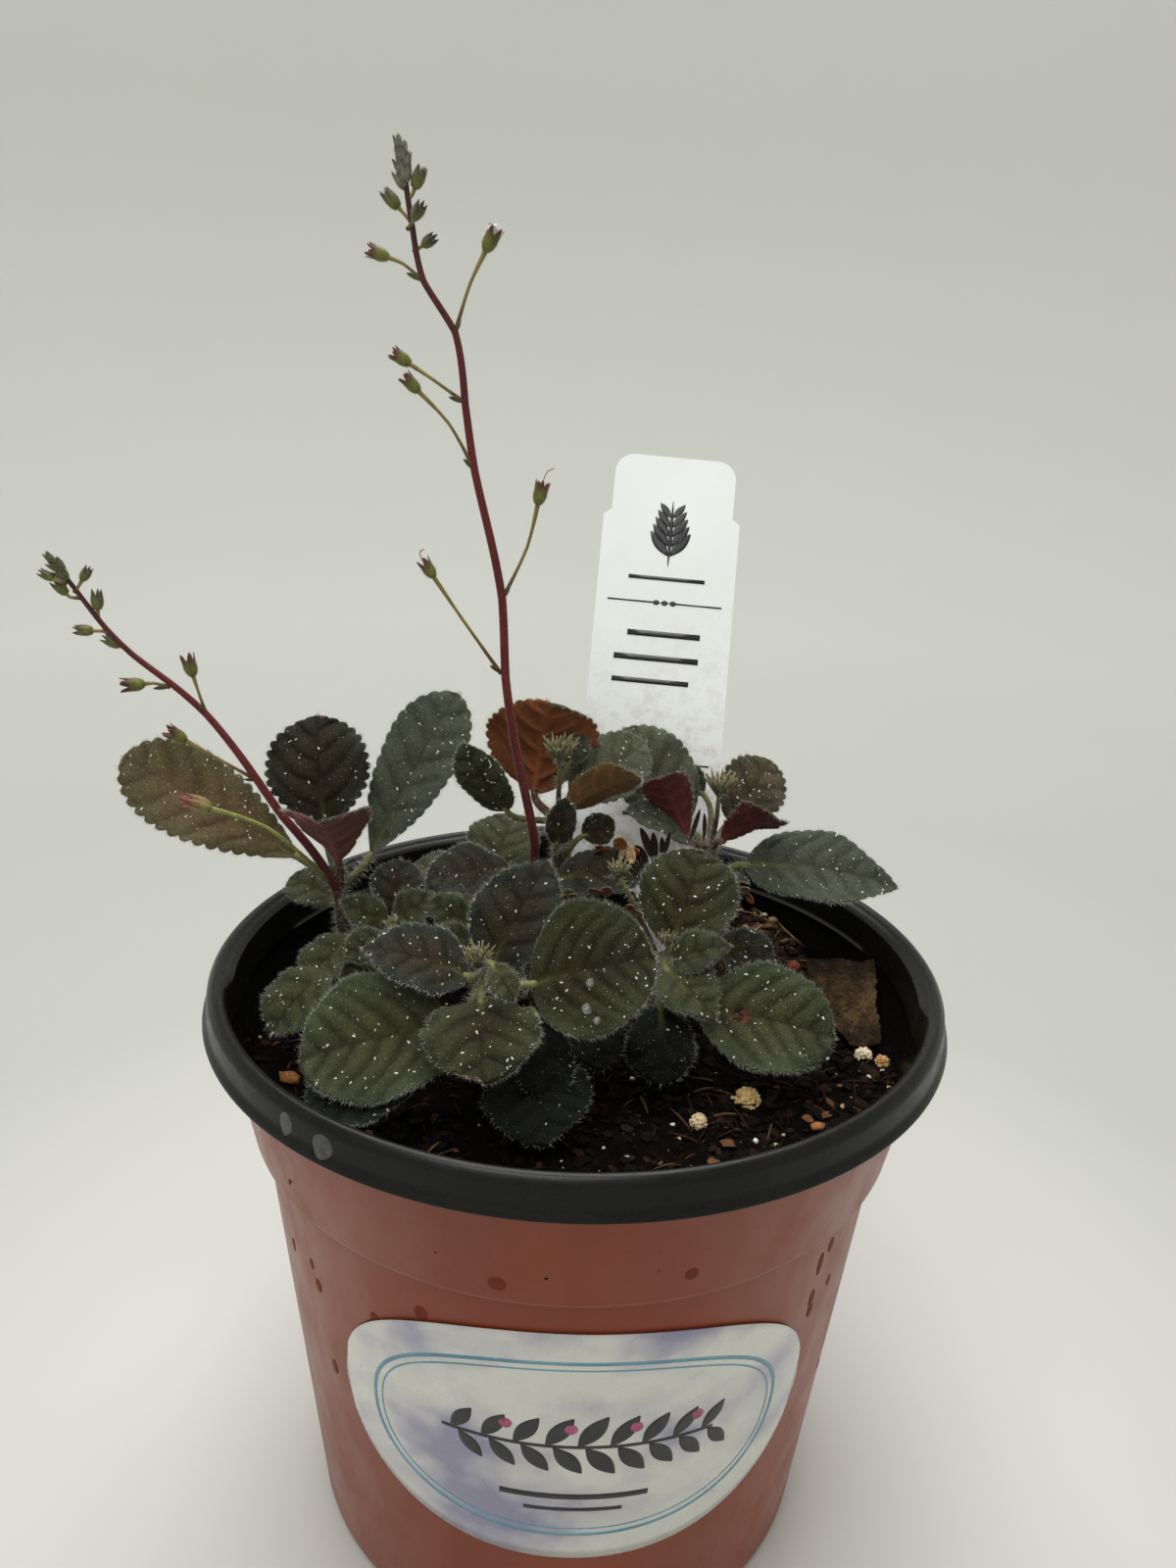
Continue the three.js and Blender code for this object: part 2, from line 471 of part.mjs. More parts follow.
const SHOOTS = {
  shoot_front: {
    root: [-17, -18], crown: [-19, -24, 143],
    leaves: [
      { base: [-22, -25, 143], tip: [-43, -26, 149], width: 16, face: [0, -1, 2] },
      { base: [-18, -18, 142], tip: [-7, -6, 161], width: 19, face: [0, -1, 1] },
      { base: [-19, -29, 140], tip: [-17, -47, 133], width: 23, face: [0, -1, 2] },
      { base: [-25, -32, 135], tip: [-53, -39, 131], width: 27, face: [0, -1, 1.4] },
      { base: [-9, -27, 143], tip: [15, -29, 151], width: 28, face: [0, -1, 1] },
      { base: [-17, -29, 148], tip: [-12, -35, 144], width: 6, face: [0, -1, 1] },
      { base: [-8, -26, 135], tip: [-4, -39, 123], width: 12, face: [0, -1, 1], from: [-18, -21, 128] },
      { base: [-10, -28, 125], tip: [-4, -47, 120], width: 22, face: [0, -1, 2], from: [-17, -20, 121] },
      { base: [-31, -38, 128], tip: [-51, -45, 124], width: 17, face: [0, -1, 2], from: [-17, -20, 122] },
      { base: [-24, -2, 143], tip: [-33, -2, 149], width: 8, face: [0, -1, 1], from: [-18, -20, 132] },
      { base: [-23, -7, 142], tip: [-31, -10, 145], width: 6, face: [0, -1, 1], from: [-18, -20, 132] },
    ],
    tufts: [[-20, -26, 147, 2.6]],
  },
  shoot_left: {
    root: [-42, 3], crown: [-42, 1, 142],
    leaves: [
      { base: [-43, 0, 142], tip: [-53, 0, 147], width: 8, face: [0, -1, 1] },
      { base: [-41, 2, 144], tip: [-41, 8, 154], width: 12, face: [0, -1, 1] },
      { base: [-41, 0, 143], tip: [-32, 0, 149], width: 9, face: [0, -1, 1] },
      { base: [-54, -10, 135], tip: [-64, -20, 125], width: 15, face: [-0.5, -1, 2], from: [-42, 2, 127] },
      { base: [-50, -3, 140], tip: [-59, -11, 131], width: 12, face: [-0.5, -1, 2], from: [-42, 2, 131] },
      { base: [-42, -5, 141], tip: [-50, -10, 139], width: 8, face: [0, -1, 1] },
    ],
    tufts: [],
  },
  shoot_right: {
    root: [16, -4], crown: [19, -8, 141],
    leaves: [
      { base: [20, -7, 142], tip: [27, 8, 159], width: 22, face: [0, -1, 1] },
      { base: [20, -9, 140], tip: [32, -12, 146], width: 10, face: [0, -1, 1.4] },
      { base: [19, -11, 139], tip: [29, -22, 134], width: 13, face: [0, -1, 1.4] },
      { base: [31, 4, 138], tip: [45, 5, 133], width: 12, face: [0, -1, 1], from: [18, -6, 131] },
      { base: [26, -13, 131], tip: [55, -18, 128], width: 25, face: [0, -1, 1.3], from: [18, -6, 125] },
      { base: [18, -16, 133], tip: [18, -28, 122], width: 15, face: [0, -1, 1.5], cup: -0.3 },
      { base: [3, -16, 131], tip: [6, -27, 124], width: 12, face: [0, -1, 1.2], from: [17, -6, 126] },
    ],
    tufts: [[19, -8, 144, 1.8], [8, -2, 157, 2.2]],
    sprigs: [[[18, -6, 138], [13, -3, 148], [8, -2, 157]]],
  },
  shoot_middle: {
    root: [-11, 16], crown: [-11, 17, 147],
    leaves: [
      { base: [-16, 13, 150], tip: [-35, 8, 149], width: 16, face: [0, -0.4, 1], from: [-11, 16, 133] },
      { base: [-6, 9, 150], tip: [15, 13, 151], width: 13, face: [0, -0.6, 1], from: [-11, 16, 138] },
    ],
    tufts: [],
  },
  shoot_tall: {
    root: [-3, 22], crown: [-6, 20, 160],
    leaves: [
      { base: [-3, 24, 165], tip: [14, 31, 177], width: 16, face: [0, -1, 0.6] },
      { base: [-12, 27, 165], tip: [-9, 20, 189], width: 27, face: [0, 1, 0.3] },
      { base: [-18, 19, 163], tip: [-27, 12, 181], width: 12, face: [-0.4, -1, 0.2], arch: 0.05 },
      { base: [-4, 24, 173], tip: [-1, 26, 180], width: 6, face: [0, -1, 0.4], from: [-6, 19, 170] },
      { base: [-4, 18, 164], tip: [12, 11, 175], width: 11, face: [0.2, 1, 0.7] },
      { base: [-6, 14, 157], tip: [-4, 12, 169], width: 7, face: [0, -1, 0.3], from: [-5, 20, 153] },
      { base: [0, 20, 157], tip: [7, 20, 161], width: 8, face: [0, -1, 0.2], from: [-5, 20, 150] },
    ],
    tufts: [[-6, 18, 177, 3.4]],
    sprigs: [[[-6, 20, 159], [-6, 19, 168], [-6, 18, 177]]],
  },
  shoot_back_right: {
    root: [36, 24], crown: [31, 28, 152],
    leaves: [
      { base: [25, 33, 156], tip: [9, 42, 177], width: 20, face: [0, -1, 0.5] },
      { base: [27, 27, 153], tip: [10, 22, 163], width: 11, face: [0.2, -0.4, 1] },
      { base: [25, 26, 155], tip: [17, 20, 173], width: 12, face: [0, 1, 0.3] },
      { base: [33, 25, 155], tip: [45, 17, 165], width: 14, face: [0, 1, 0.8] },
      { base: [36, 34, 157], tip: [45, 42, 168], width: 14, face: [0, -1, 0.5] },
      { base: [29, 36, 163], tip: [22, 38, 169], width: 8, face: [0, -1, 0.5], from: [31, 28, 150] },
      { base: [39, 23, 150], tip: [75, 20, 147], width: 20, face: [0, -0.7, 1], from: [33, 26, 139] },
    ],
    tufts: [[32, 28, 167, 3.2]],
    sprigs: [[[31, 28, 151], [32, 28, 160], [32, 28, 167]]],
  },
  shoot_far_left: {
    root: [-54, 11], crown: [-55, 9, 146],
    leaves: [
      { base: [-65, 12, 152], tip: [-104, 14, 174], width: 20, face: [0, -1, 0.7], arch: 0.03 },
      { base: [-59, 13, 160], tip: [-62, 22, 183], width: 24, face: [0, -1, 0.5] },
      { base: [-49, 14, 152], tip: [-30, 24, 189], width: 18, face: [-0.3, -1, 0.3], arch: 0.05 },
      { base: [-55, 8, 153], tip: [-56, -6, 171], width: 20, face: [0, 1, 0.9], cup: 0.6 },
      { base: [-57, 16, 139], tip: [-70, 22, 142], width: 12, face: [0, -0.5, 1], from: [-54, 10, 134] },
    ],
    tufts: [],
  },
  shoot_back_left: {
    root: [-24, 46], crown: [-24, 47, 128],
    leaves: [
      { base: [-29, 49, 129], tip: [-45, 52, 134], width: 16, face: [-0.5, 0, 1] },
      { base: [-24, 54, 129], tip: [-20, 74, 141], width: 20, face: [0, -0.5, 1] },
      { base: [-31, 43, 128], tip: [-50, 34, 131], width: 16, face: [0, 0, 1] },
      { base: [-18, 44, 129], tip: [-6, 42, 136], width: 12, face: [0, 0, 1] },
      { base: [-26, 41, 130], tip: [-28, 27, 135], width: 12, face: [0, 0, 1] },
      { base: [-29, 53, 122], tip: [-38, 57, 121], width: 12, face: [0, 0.3, 1], from: [-24, 46, 120] },
      { base: [-17, 50, 128], tip: [-4, 60, 131], width: 13, face: [0, 0, 1] },
    ],
    tufts: [[-24, 47, 131, 2.2]],
  },
  shoot_back: {
    root: [24, 56], crown: [24, 57, 129],
    leaves: [
      { base: [19, 60, 130], tip: [5, 65, 134], width: 13, face: [-0.3, 0, 1] },
      { base: [27, 61, 134], tip: [34, 71, 142], width: 13, face: [0, -0.5, 1], arch: 0.02 },
      { base: [30, 55, 130], tip: [44, 49, 134], width: 13, face: [0.3, 0, 1] },
      { base: [24, 63, 131], tip: [20, 75, 141], width: 11, face: [0, -0.5, 1], arch: 0.02 },
      { base: [31, 57, 122], tip: [41, 52, 121], width: 11, face: [0.2, 0.2, 1], from: [24, 56, 119] },
    ],
    tufts: [[24, 57, 132, 2]],
  },
};

// The racemes: a red stem with its points, and flower stalks that leave it at a point and end in
// a bud. The number after the stalk's end is the length of the bud.

const RACEMES = {
  raceme_tall: {
    foot: [-11, 17, 141],
    stem: [[-11, 13, 150], [-11, 11, 159], [-15, 10, 178], [-18, 9, 197], [-19, 9, 214],
      [-22, 9, 228], [-25, 9, 240], [-27, 9, 253], [-29, 9, 266], [-35, 8, 275],
      [-37, 8, 284], [-39, 8, 295]],
    radii: [1.4, 0.8],
    flowers: [
      [[-19, 9, 198], [-28, 6, 210], [-33, 5, 219], 4.5],
      [[-19, 9, 214], [-14, 10, 225], [-12, 10, 234], 5],
      [[-25, 9, 240], [-30, 7, 249], [-36, 6, 255], 4.5],
      [[-27, 9, 253], [-33, 8, 257], [-38, 8, 260], 4.5],
      [[-29, 9, 266], [-26, 8, 275], [-23, 8, 281], 5],
      [[-35, 8, 275], [-39, 8, 278], [-42, 8, 279], 4.5],
      [[-37, 8, 284], [-36, 8, 284], [-35, 7, 283], 3.4],
      [[-37, 8, 285], [-39, 8, 287], [-40, 8, 288], 3.8],
      [[-38, 8, 288], [-37, 8, 289], [-37, 8, 290], 3.6],
      [[-38, 8, 287], [-37, 7, 287], [-36, 6, 287], 3.4],
    ],
    tip: [-39, 8, 296],
  },
  raceme_left: {
    foot: [-55, 9, 141],
    stem: [[-56, 8, 147], [-62, 8, 157], [-67, 7, 164], [-74, 6, 176], [-82, 6, 187], [-89, 5, 194],
      [-96, 4, 200], [-101, 3, 206], [-106, 2, 214], [-109, 1, 219]],
    radii: [1.5, 0.8],
    flowers: [
      [[-72, 7, 172], [-79, 3, 178], [-85, 0, 183], 5],
      [[-56, 8, 147], [-67, 3, 159], [-80, -3, 169], 6.5],
      [[-82, 6, 187], [-83, 5, 192], [-84, 5, 196], 5],
      [[-89, 5, 193], [-92, 4, 194], [-94, 3, 194], 5],
      [[-96, 4, 200], [-97, 4, 201], [-99, 4, 202], 3.6],
      [[-100, 3, 205], [-102, 3, 205], [-104, 3, 205], 3.6],
      [[-101, 3, 206], [-102, 3, 208], [-102, 3, 210], 3.8],
      [[-105, 2, 212], [-107, 2, 212], [-108, 2, 213], 3.4],
    ],
    tip: [-109, 1, 219],
  },
};

// Grains of perlite and bark pressed into the mix: place, and radius
const GRAINS = {
  perlite_front: [37, -24, 2.8],
  perlite_right: [65.4, -5, 2.1],
  perlite_side: [69.4, -6.6, 1.7],
  perlite_middle: [26, -32, 1.9],
};

function stemSection({ root, crown }, grow, top) {
  const low = SOIL_HEIGHT - ROOT_DEPTH - grow;
  const points = [[...root, low], [...root, SOIL_HEIGHT - 4], [...root, SOIL_HEIGHT + 3]];
  if (top) points.push(crown);
  return stalk(points, STEM_RADIUS + grow, (top ? 0.85 : 1) * STEM_RADIUS + grow, 6, top ? 5 : 2);
}

function shootSolid(shoot) {
  const parts = [stemSection(shoot, 0, true)];
  for (const row of shoot.leaves) parts.push(leaf({ from: shoot.crown, ...row }));
  for (const path of shoot.sprigs ?? []) parts.push(stalk(path, 1, 0.7, 4, 3));
  for (const [x, y, z, radius] of shoot.tufts) parts.push(...tuft([x, y, z], radius, 6));
  return join(parts);
}

function racemeSolid({ foot, stem, radii, flowers, tip }, grow = 0) {
  const parts = [stalk([foot, ...stem], radii[0] + grow, radii[1] + grow, 6, 14)];
  if (grow) return join(parts);
  for (const [start, middle, end, size] of flowers) {
    parts.push(stalk([start, middle, end], 0.6, 0.5, 4, size < OPEN_BUD ? 1 : 3));
    const direction = vec(end).sub(vec(middle)).normalize();
    parts.push(bud(vec(end).addScaledVector(direction, -0.4), direction, size));
    if (size < OPEN_BUD) continue;
    const bract = new THREE.ConeGeometry(0.8, 4, 3).translate(0, 1.8, 0);
    const outward = vec(middle).sub(vec(start)).normalize();
    outward.z -= 0.5;
    outward.normalize();
    bract.applyQuaternion(new THREE.Quaternion().setFromUnitVectors(new THREE.Vector3(0, 1, 0), outward));
    parts.push(bract.translate(...start));
  }
  parts.push(...tuft(tip, 2.4, 6));
  return join(parts);
}

// A dry fallen leaf that leans on the pot's wall: a thin crinkled sheet with a torn corner

const DRY_LEAF_BREADTH = 17.5;
const DRY_LEAF_LENGTH = 22;
const DRY_LEAF_CELLS = 6;

function dryLeafGeometry() {
  const corner = vec([52, -3, 117.4]);
  const side = new THREE.Vector3(1, 0, 0.02).normalize();
  const rise = new THREE.Vector3(0.12, 0.82, 0.56).normalize();
  const up = new THREE.Vector3().crossVectors(side, rise).normalize();
  const cells = DRY_LEAF_CELLS;
  const at = (i, j) => corner.clone()
    .addScaledVector(side, (i / cells) * DRY_LEAF_BREADTH * (1 - 0.08 * j / cells) + 0.5 * Math.sin(j * 1.7))
    .addScaledVector(rise, (j / cells) * DRY_LEAF_LENGTH + 0.7 * Math.sin(i * 2.1 + 1))
    .addScaledVector(up, 0.6 * Math.sin(i * 1.3 + j * 0.9));
  const points = [];
  for (let j = 0; j <= cells; j += 1) {
    for (let i = 0; i <= cells; i += 1) points.push(at(i, j));
  }
  const cellKept = (i, j) => i >= 0 && j >= 0 && i < cells && j < cells && !(i < 2 && j < 2);
  const vertices = [];
  for (const offset of [0.35, -0.35]) {
    for (const point of points) vertices.push(...point.clone().addScaledVector(up, offset).toArray());
  }
  const count = points.length;
  const index = (i, j) => j * (cells + 1) + i;
  const faces = [];
  const wall = (a, b) => faces.push(a, count + a, b, b, count + a, count + b);
  for (let j = 0; j < cells; j += 1) {
    for (let i = 0; i < cells; i += 1) {
      if (!cellKept(i, j)) continue;
      const [a, b, c, d] = [index(i, j), index(i + 1, j), index(i + 1, j + 1), index(i, j + 1)];
      faces.push(a, b, c, a, c, d);
      faces.push(count + a, count + c, count + b, count + a, count + d, count + c);
      if (!cellKept(i, j - 1)) wall(a, b);
      if (!cellKept(i + 1, j)) wall(b, c);
      if (!cellKept(i, j + 1)) wall(c, d);
      if (!cellKept(i - 1, j)) wall(d, a);
    }
  }
  return closedGeometry(vertices, faces);
}

// Putting the plant together

addNode("pot", potGeometry(), colours.terracotta);
addNode("pot_sticker", stickerGeometry(), colours.sticker);

let soil = toSolid(soilGeometry());
for (const shoot of Object.values(SHOOTS)) {
  soil = soil.subtract(toSolid(stemSection(shoot, GAP, false)));
}
soil = soil.subtract(toSolid(labelGeometry(GAP)));
for (const [name, [x, y, radius]] of Object.entries(GRAINS)) {
  const z = SOIL_HEIGHT + relief(x, y) + radius * 0.35;
  soil = soil.subtract(toSolid(new THREE.IcosahedronGeometry(radius + GAP * 1.3, 1).translate(x, y, z)));
  addNode(name, new THREE.IcosahedronGeometry(radius, 1).translate(x, y, z), colours.perlite);
}
addNode("soil", toGeometry(largestBody(soil)), colours.soil);
addNode("plant_label", labelGeometry(), colours.label);
addNode("dry_leaf", dryLeafGeometry(), colours.dry_leaf);

const sockets = { shoot_middle: RACEMES.raceme_tall, shoot_far_left: RACEMES.raceme_left };
for (const [name, shoot] of Object.entries(SHOOTS)) {
  let solid = shootSolid(shoot);
  if (sockets[name]) solid = solid.subtract(racemeSolid(sockets[name], GAP));
  addNode(name, toGeometry(largestBody(solid)), colours.leaf);
}
for (const [name, raceme] of Object.entries(RACEMES)) {
  addNode(name, toGeometry(largestBody(racemeSolid(raceme))), colours.raceme);
}

export default plant;
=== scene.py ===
# %% [markdown]
# A potted Gloxinia erinoides: velvety scalloped leaves, two slender red racemes, and a plain
# nursery pot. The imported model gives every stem, leaf, bud and pot wall its place and size.
# Here each of them gets its fine surface: crenate edges, sunken veins, thousands of hairs,
# crumbs of potting mix and the satin of moulded plastic.

# %% Load the frame
import math
import random

import bmesh
import bpy
import numpy as np
from mathutils import Matrix, Vector, noise


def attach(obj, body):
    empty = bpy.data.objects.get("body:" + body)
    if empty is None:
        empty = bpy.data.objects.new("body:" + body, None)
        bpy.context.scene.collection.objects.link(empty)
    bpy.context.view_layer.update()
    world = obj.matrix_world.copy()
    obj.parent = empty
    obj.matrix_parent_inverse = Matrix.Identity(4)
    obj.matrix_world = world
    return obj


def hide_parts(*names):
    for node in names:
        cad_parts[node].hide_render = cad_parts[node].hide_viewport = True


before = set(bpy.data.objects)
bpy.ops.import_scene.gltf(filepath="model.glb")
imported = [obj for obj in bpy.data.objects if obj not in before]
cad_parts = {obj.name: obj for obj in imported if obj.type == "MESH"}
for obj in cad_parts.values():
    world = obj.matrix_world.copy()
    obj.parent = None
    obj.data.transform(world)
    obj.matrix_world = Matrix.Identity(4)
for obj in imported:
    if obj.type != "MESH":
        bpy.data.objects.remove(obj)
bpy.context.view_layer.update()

MM = 0.001

# %% [markdown]
# The camera stands where the picture was taken from: a little above the pot's lip and close to
# it, looking slightly down. The lens is short, so near things look large. Its turn is built
# from the way that it looks, rolled by about two degrees.

# %% Camera
CAMERA_PLACE = Vector((0, -237.4, 258.7)) * MM
CAMERA_LOOKS = Vector((0.0025, 0.9453, -0.3261)).normalized()
CAMERA_ROLL = math.radians(2.38)
LENS = 27.02


def put(name, data):
    """An object with this data, in the scene."""
    made = bpy.data.objects.new(name, data)
    bpy.context.scene.collection.objects.link(made)
    return made


right = CAMERA_LOOKS.cross(Vector((0, 0, 1))).normalized()
up = right.cross(CAMERA_LOOKS)
side = right * math.cos(CAMERA_ROLL) + up * math.sin(CAMERA_ROLL)
top = up * math.cos(CAMERA_ROLL) - right * math.sin(CAMERA_ROLL)
camera = put("camera", bpy.data.cameras.new("camera"))
camera.matrix_world = Matrix.Translation(CAMERA_PLACE) @ Matrix(
    (side, top, -CAMERA_LOOKS)).transposed().to_4x4()
camera.data.lens = LENS
camera.data.sensor_width = 36
camera.data.clip_start = 0.01
bpy.context.scene.camera = camera
print("camera at", tuple(round(c, 3) for c in CAMERA_PLACE), "with a lens of", LENS, "mm")

# %% [markdown]
# A finish is a material made of nodes. Writing each node out is long, so this small class
# gives short names to the few that the finishes below share. Every pattern reads Object
# coordinates or a value that the mesh carries, so it stays on the piece from every side.

# %% Short names for material nodes
def add_node(tree, kind, inputs=(), **settings):
    """A node with its settings, and each input set to a value or linked to another node."""
    made = tree.nodes.new(kind)
    for key, value in settings.items():
        setattr(made, key, value)
    for key, value in dict(inputs).items():
        socket = made.inputs[key]
        if isinstance(value, bpy.types.NodeSocket):
            tree.links.new(value, socket)
        else:
            socket.default_value = (*value, 1) if socket.type == "RGBA" else value
    return made


class Finish:
    def __init__(self, name, **sockets):
        self.material = bpy.data.materials.new(name)
        self.material.use_nodes = True
        self.tree = self.material.node_tree
        self.shader = self.tree.nodes["Principled BSDF"]
        for label, value in sockets.items():
            self.shader.inputs[label.replace("_", " ")].default_value = value
        self.place = self.out("TexCoord", output="Object")

    def out(self, kind, inputs=(), output=0, **settings):
        return add_node(self.tree, "ShaderNode" + kind, inputs, **settings).outputs[output]

    def noise(self, size_mm, detail=3.0, stretch=(1, 1, 1), rough=0.55):
        moved = self.out("Mapping", {"Vector": self.place, "Scale": stretch})
        return self.out("TexNoise", {
            "Vector": moved, "Scale": 1 / (size_mm * MM), "Detail": detail, "Roughness": rough}, "Fac")

    def value(self, name, output="Fac"):
        return self.out("Attribute", output=output, attribute_name=name)

    def ramp(self, source, *stops):
        made = add_node(self.tree, "ShaderNodeValToRGB", {"Fac": source})
        elements = made.color_ramp.elements
        while len(elements) < len(stops):
            elements.new(0.5)
        for element, (position, colour) in zip(elements, stops):
            element.position = position
            element.color = (*colour, 1) if hasattr(colour, "__len__") else (colour,) * 3 + (1,)
        return made.outputs["Color"]

    def drift(self, size_mm, detail, dark, light, at=(0.3, 0.7), **kind):
        """Noise of a size that drifts between two tones, which it reaches at two levels."""
        return self.ramp(self.noise(size_mm, detail, **kind), (at[0], dark), (at[1], light))

    def mix(self, share, a, b, kind="MIX"):
        return self.out("Mix", {0: share, 6: a, 7: b}, 2, data_type="RGBA", blend_type=kind)

    def tinted(self, a, b):
        return self.mix(1.0, a, b, "MULTIPLY")

    def maths(self, operation, a, b=0.0, clamp=False):
        return self.out("Math", {0: a, 1: b}, operation=operation, use_clamp=clamp)

    def times(self, a, b, clamp=False):
        return self.maths("MULTIPLY", a, b, clamp)

    def axis(self, letter):
        return self.out("SeparateXYZ", {0: self.place}, letter)

    def below(self, height, reach):
        """1 up to a height in millimetres, falling to 0 over the reach above it."""
        risen = self.maths("SUBTRACT", self.axis("Z"), height * MM)
        return self.maths("SUBTRACT", 1.0, self.maths("DIVIDE", risen, reach * MM), True)

    def band(self, height, half):
        """1 at a height in millimetres, falling to 0 at half a band above and below it."""
        away = self.maths("ABSOLUTE", self.maths("SUBTRACT", self.axis("Z"), height * MM))
        return self.maths("SUBTRACT", 1.0, self.times(away, 1 / (half * MM)), True)

    def away(self, place):
        return self.out("VectorMath", {0: self.place, 1: place}, "Value", operation="DISTANCE")

    def bump(self, height, depth_mm, strength=1.0, **under):
        values = {"Height": height, "Distance": depth_mm * MM, "Strength": strength, **under}
        return self.out("Bump", values, "Normal")

    def use(self, **sources):
        for label, source in sources.items():
            self.tree.links.new(source, self.shader.inputs[label.replace("_", " ")])
        return self.material


def two_tone(name, size_mm, detail, dark, light, at=(0.3, 0.7), **sockets):
    """A plain finish whose colour drifts between two tones."""
    made = Finish(name, **sockets)
    return made.use(Base_Color=made.drift(size_mm, detail, dark, light, at))


print("material helper ready")

# %% [markdown]
# Most pieces here are many small closed surfaces in one mesh: a shoot has stems, stalks and
# blades. The class Piece gathers them, in millimetres, with the values that their finish and
# their hairs need at each point: a tint, how near a vein is (with the painted shade in and
# beside the veins of an upper face), which way hairs lie and how densely they grow. One call at
# the end makes the mesh, and names the solid that it dresses.

# %% A gatherer of surfaces
VALUES = {"tint": 3, "comb": 3, "vein": 1, "velvet": 1, "fringe": 1, "shag": 1, "dust": 1, "shade": 1}
STORED_AS = {"tint": ("FLOAT_COLOR", "color"), "comb": ("FLOAT_VECTOR", "vector")}


class Piece:
    def __init__(self):
        self.points, self.faces, self.values = [], [], []
        self.count = 0

    def add(self, points, faces, finish=0, **values):
        """Points with one block of faces, or a tuple of blocks, and a value each or for all."""
        points = np.asarray(points, float).reshape(-1, 3)
        kept = [np.broadcast_to(
            np.reshape(values.get(name, [0.0] * width), (-1, width)), (len(points), width))
            for name, width in VALUES.items()]
        for block in faces if isinstance(faces, tuple) else (faces,):
            self.faces.append((np.asarray(block, int) + self.count, finish))
        self.points.append(points)
        self.values.append(np.concatenate(kept, axis=1))
        self.count += len(points)

    def mesh(self, name, materials, smooth=True):
        faces, finishes = [], []
        for block, finish in self.faces:
            faces += block.tolist()
            finishes += np.broadcast_to(finish, len(block)).tolist()
        data = bpy.data.meshes.new(name)
        data.from_pydata((np.concatenate(self.points) * MM).tolist(), [], faces)
        data.polygons.foreach_set("material_index", finishes)
        data.polygons.foreach_set("use_smooth", [smooth] * len(faces))
        ends = np.cumsum(list(VALUES.values()))[:-1]
        for label, part in zip(VALUES, np.split(np.concatenate(self.values), ends, axis=1)):
            if not part.any():
                continue
            kind, field = STORED_AS.get(label, ("FLOAT", "value"))
            layers = data.attributes
            if label == "tint":
                layers = data.color_attributes
                part = np.concatenate([part, np.ones((len(part), 1))], axis=1)
            layers.new(label, kind, "POINT").data.foreach_set(field, part.astype(np.float32).ravel())
        for material in materials:
            data.materials.append(material)
        data.validate()
        return data


def show(name, data, slot, *nodes):
    made = put(name, data)
    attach(made, "root")
    if nodes:
        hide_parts(*nodes)
    data.calc_loop_triangles()
    print(f"{name}: {len(data.loop_triangles)} triangles")


def show_piece(name, piece, materials, slot, *nodes):
    show(name, piece.mesh(name, materials), slot, *nodes)


# %% [markdown]
# Two kinds of surface make nearly everything. A sheet is a grid of points that gets two faces
# and a rim, so that it is closed: blades, petals, film and card. A tube is a ring carried
# along a smooth path, closed at both ends: stems, stalks and threads.

# %% Sheets and tubes
def unit(vectors):
    vectors = np.asarray(vectors, float)
    return vectors / np.maximum(np.linalg.norm(vectors, axis=-1, keepdims=True), 1e-9)


def grid_normals(grid):
    return unit(np.cross(np.gradient(grid, axis=0), np.gradient(grid, axis=1)))


def sheet(grid, above, below):
    """Both faces and the rim of a grid of points, moved by above and below millimetres."""
    rows, columns = grid.shape[:2]
    normals = grid_normals(grid)
    upper = grid + normals * np.asarray(above)[..., None]
    lower = grid - normals * np.asarray(below)[..., None]
    shift = rows * columns
    index = np.arange(shift).reshape(rows, columns)
    front = np.stack([index[:-1, :-1], index[1:, :-1], index[1:, 1:], index[:-1, 1:]], axis=-1)
    front = front.reshape(-1, 4)
    loop = np.concatenate([index[:, 0], index[-1, 1:], index[:-1, -1][::-1], index[0, 1:-1][::-1]])
    after = np.roll(loop, -1)
    rim = np.stack([after, loop, loop + shift, after + shift], axis=-1)
    points = np.concatenate([upper.reshape(-1, 3), lower.reshape(-1, 3)])
    return points, np.concatenate([front, front[:, ::-1] + shift, rim]), normals, loop


def smooth_path(points, step):
    """Points along a centripetal Catmull-Rom curve through the given points, a step apart."""
    p = [np.asarray(q, float) for q in points]
    p = [2 * p[0] - p[1], *p, 2 * p[-1] - p[-2]]
    out = []
    for a, b, c, d in zip(p, p[1:], p[2:], p[3:]):
        gaps = [max(np.linalg.norm(y - x), 1e-6) ** 0.5 for x, y in ((a, b), (b, c), (c, d))]
        times = np.cumsum([0, *gaps])
        count = max(1, round(np.linalg.norm(c - b) / step))
        for t in times[1] + (times[2] - times[1]) * np.arange(count) / count:
            level = [a, b, c, d]
            for reach in (1, 2, 3):
                level = [
                    (level[i] * (times[i + reach] - t) + level[i + 1] * (t - times[i]))
                    / (times[i + reach] - times[i]) for i in range(4 - reach)]
            out.append(level[0])
    return np.array([*out, p[-2]])


def ring_faces(rows, sides):
    """The walls between rings of points, and the fans that close them at two last points."""
    index = np.arange(rows * sides).reshape(rows, sides)
    after = np.roll(index, -1, axis=1)
    walls = np.stack([index[:-1], after[:-1], after[1:], index[1:]], axis=-1).reshape(-1, 4)
    first = np.full(sides, rows * sides)
    low = np.stack([first, after[0], index[0]], axis=1)
    high = np.stack([first + 1, index[-1], after[-1]], axis=1)
    return walls, np.concatenate([low, high])


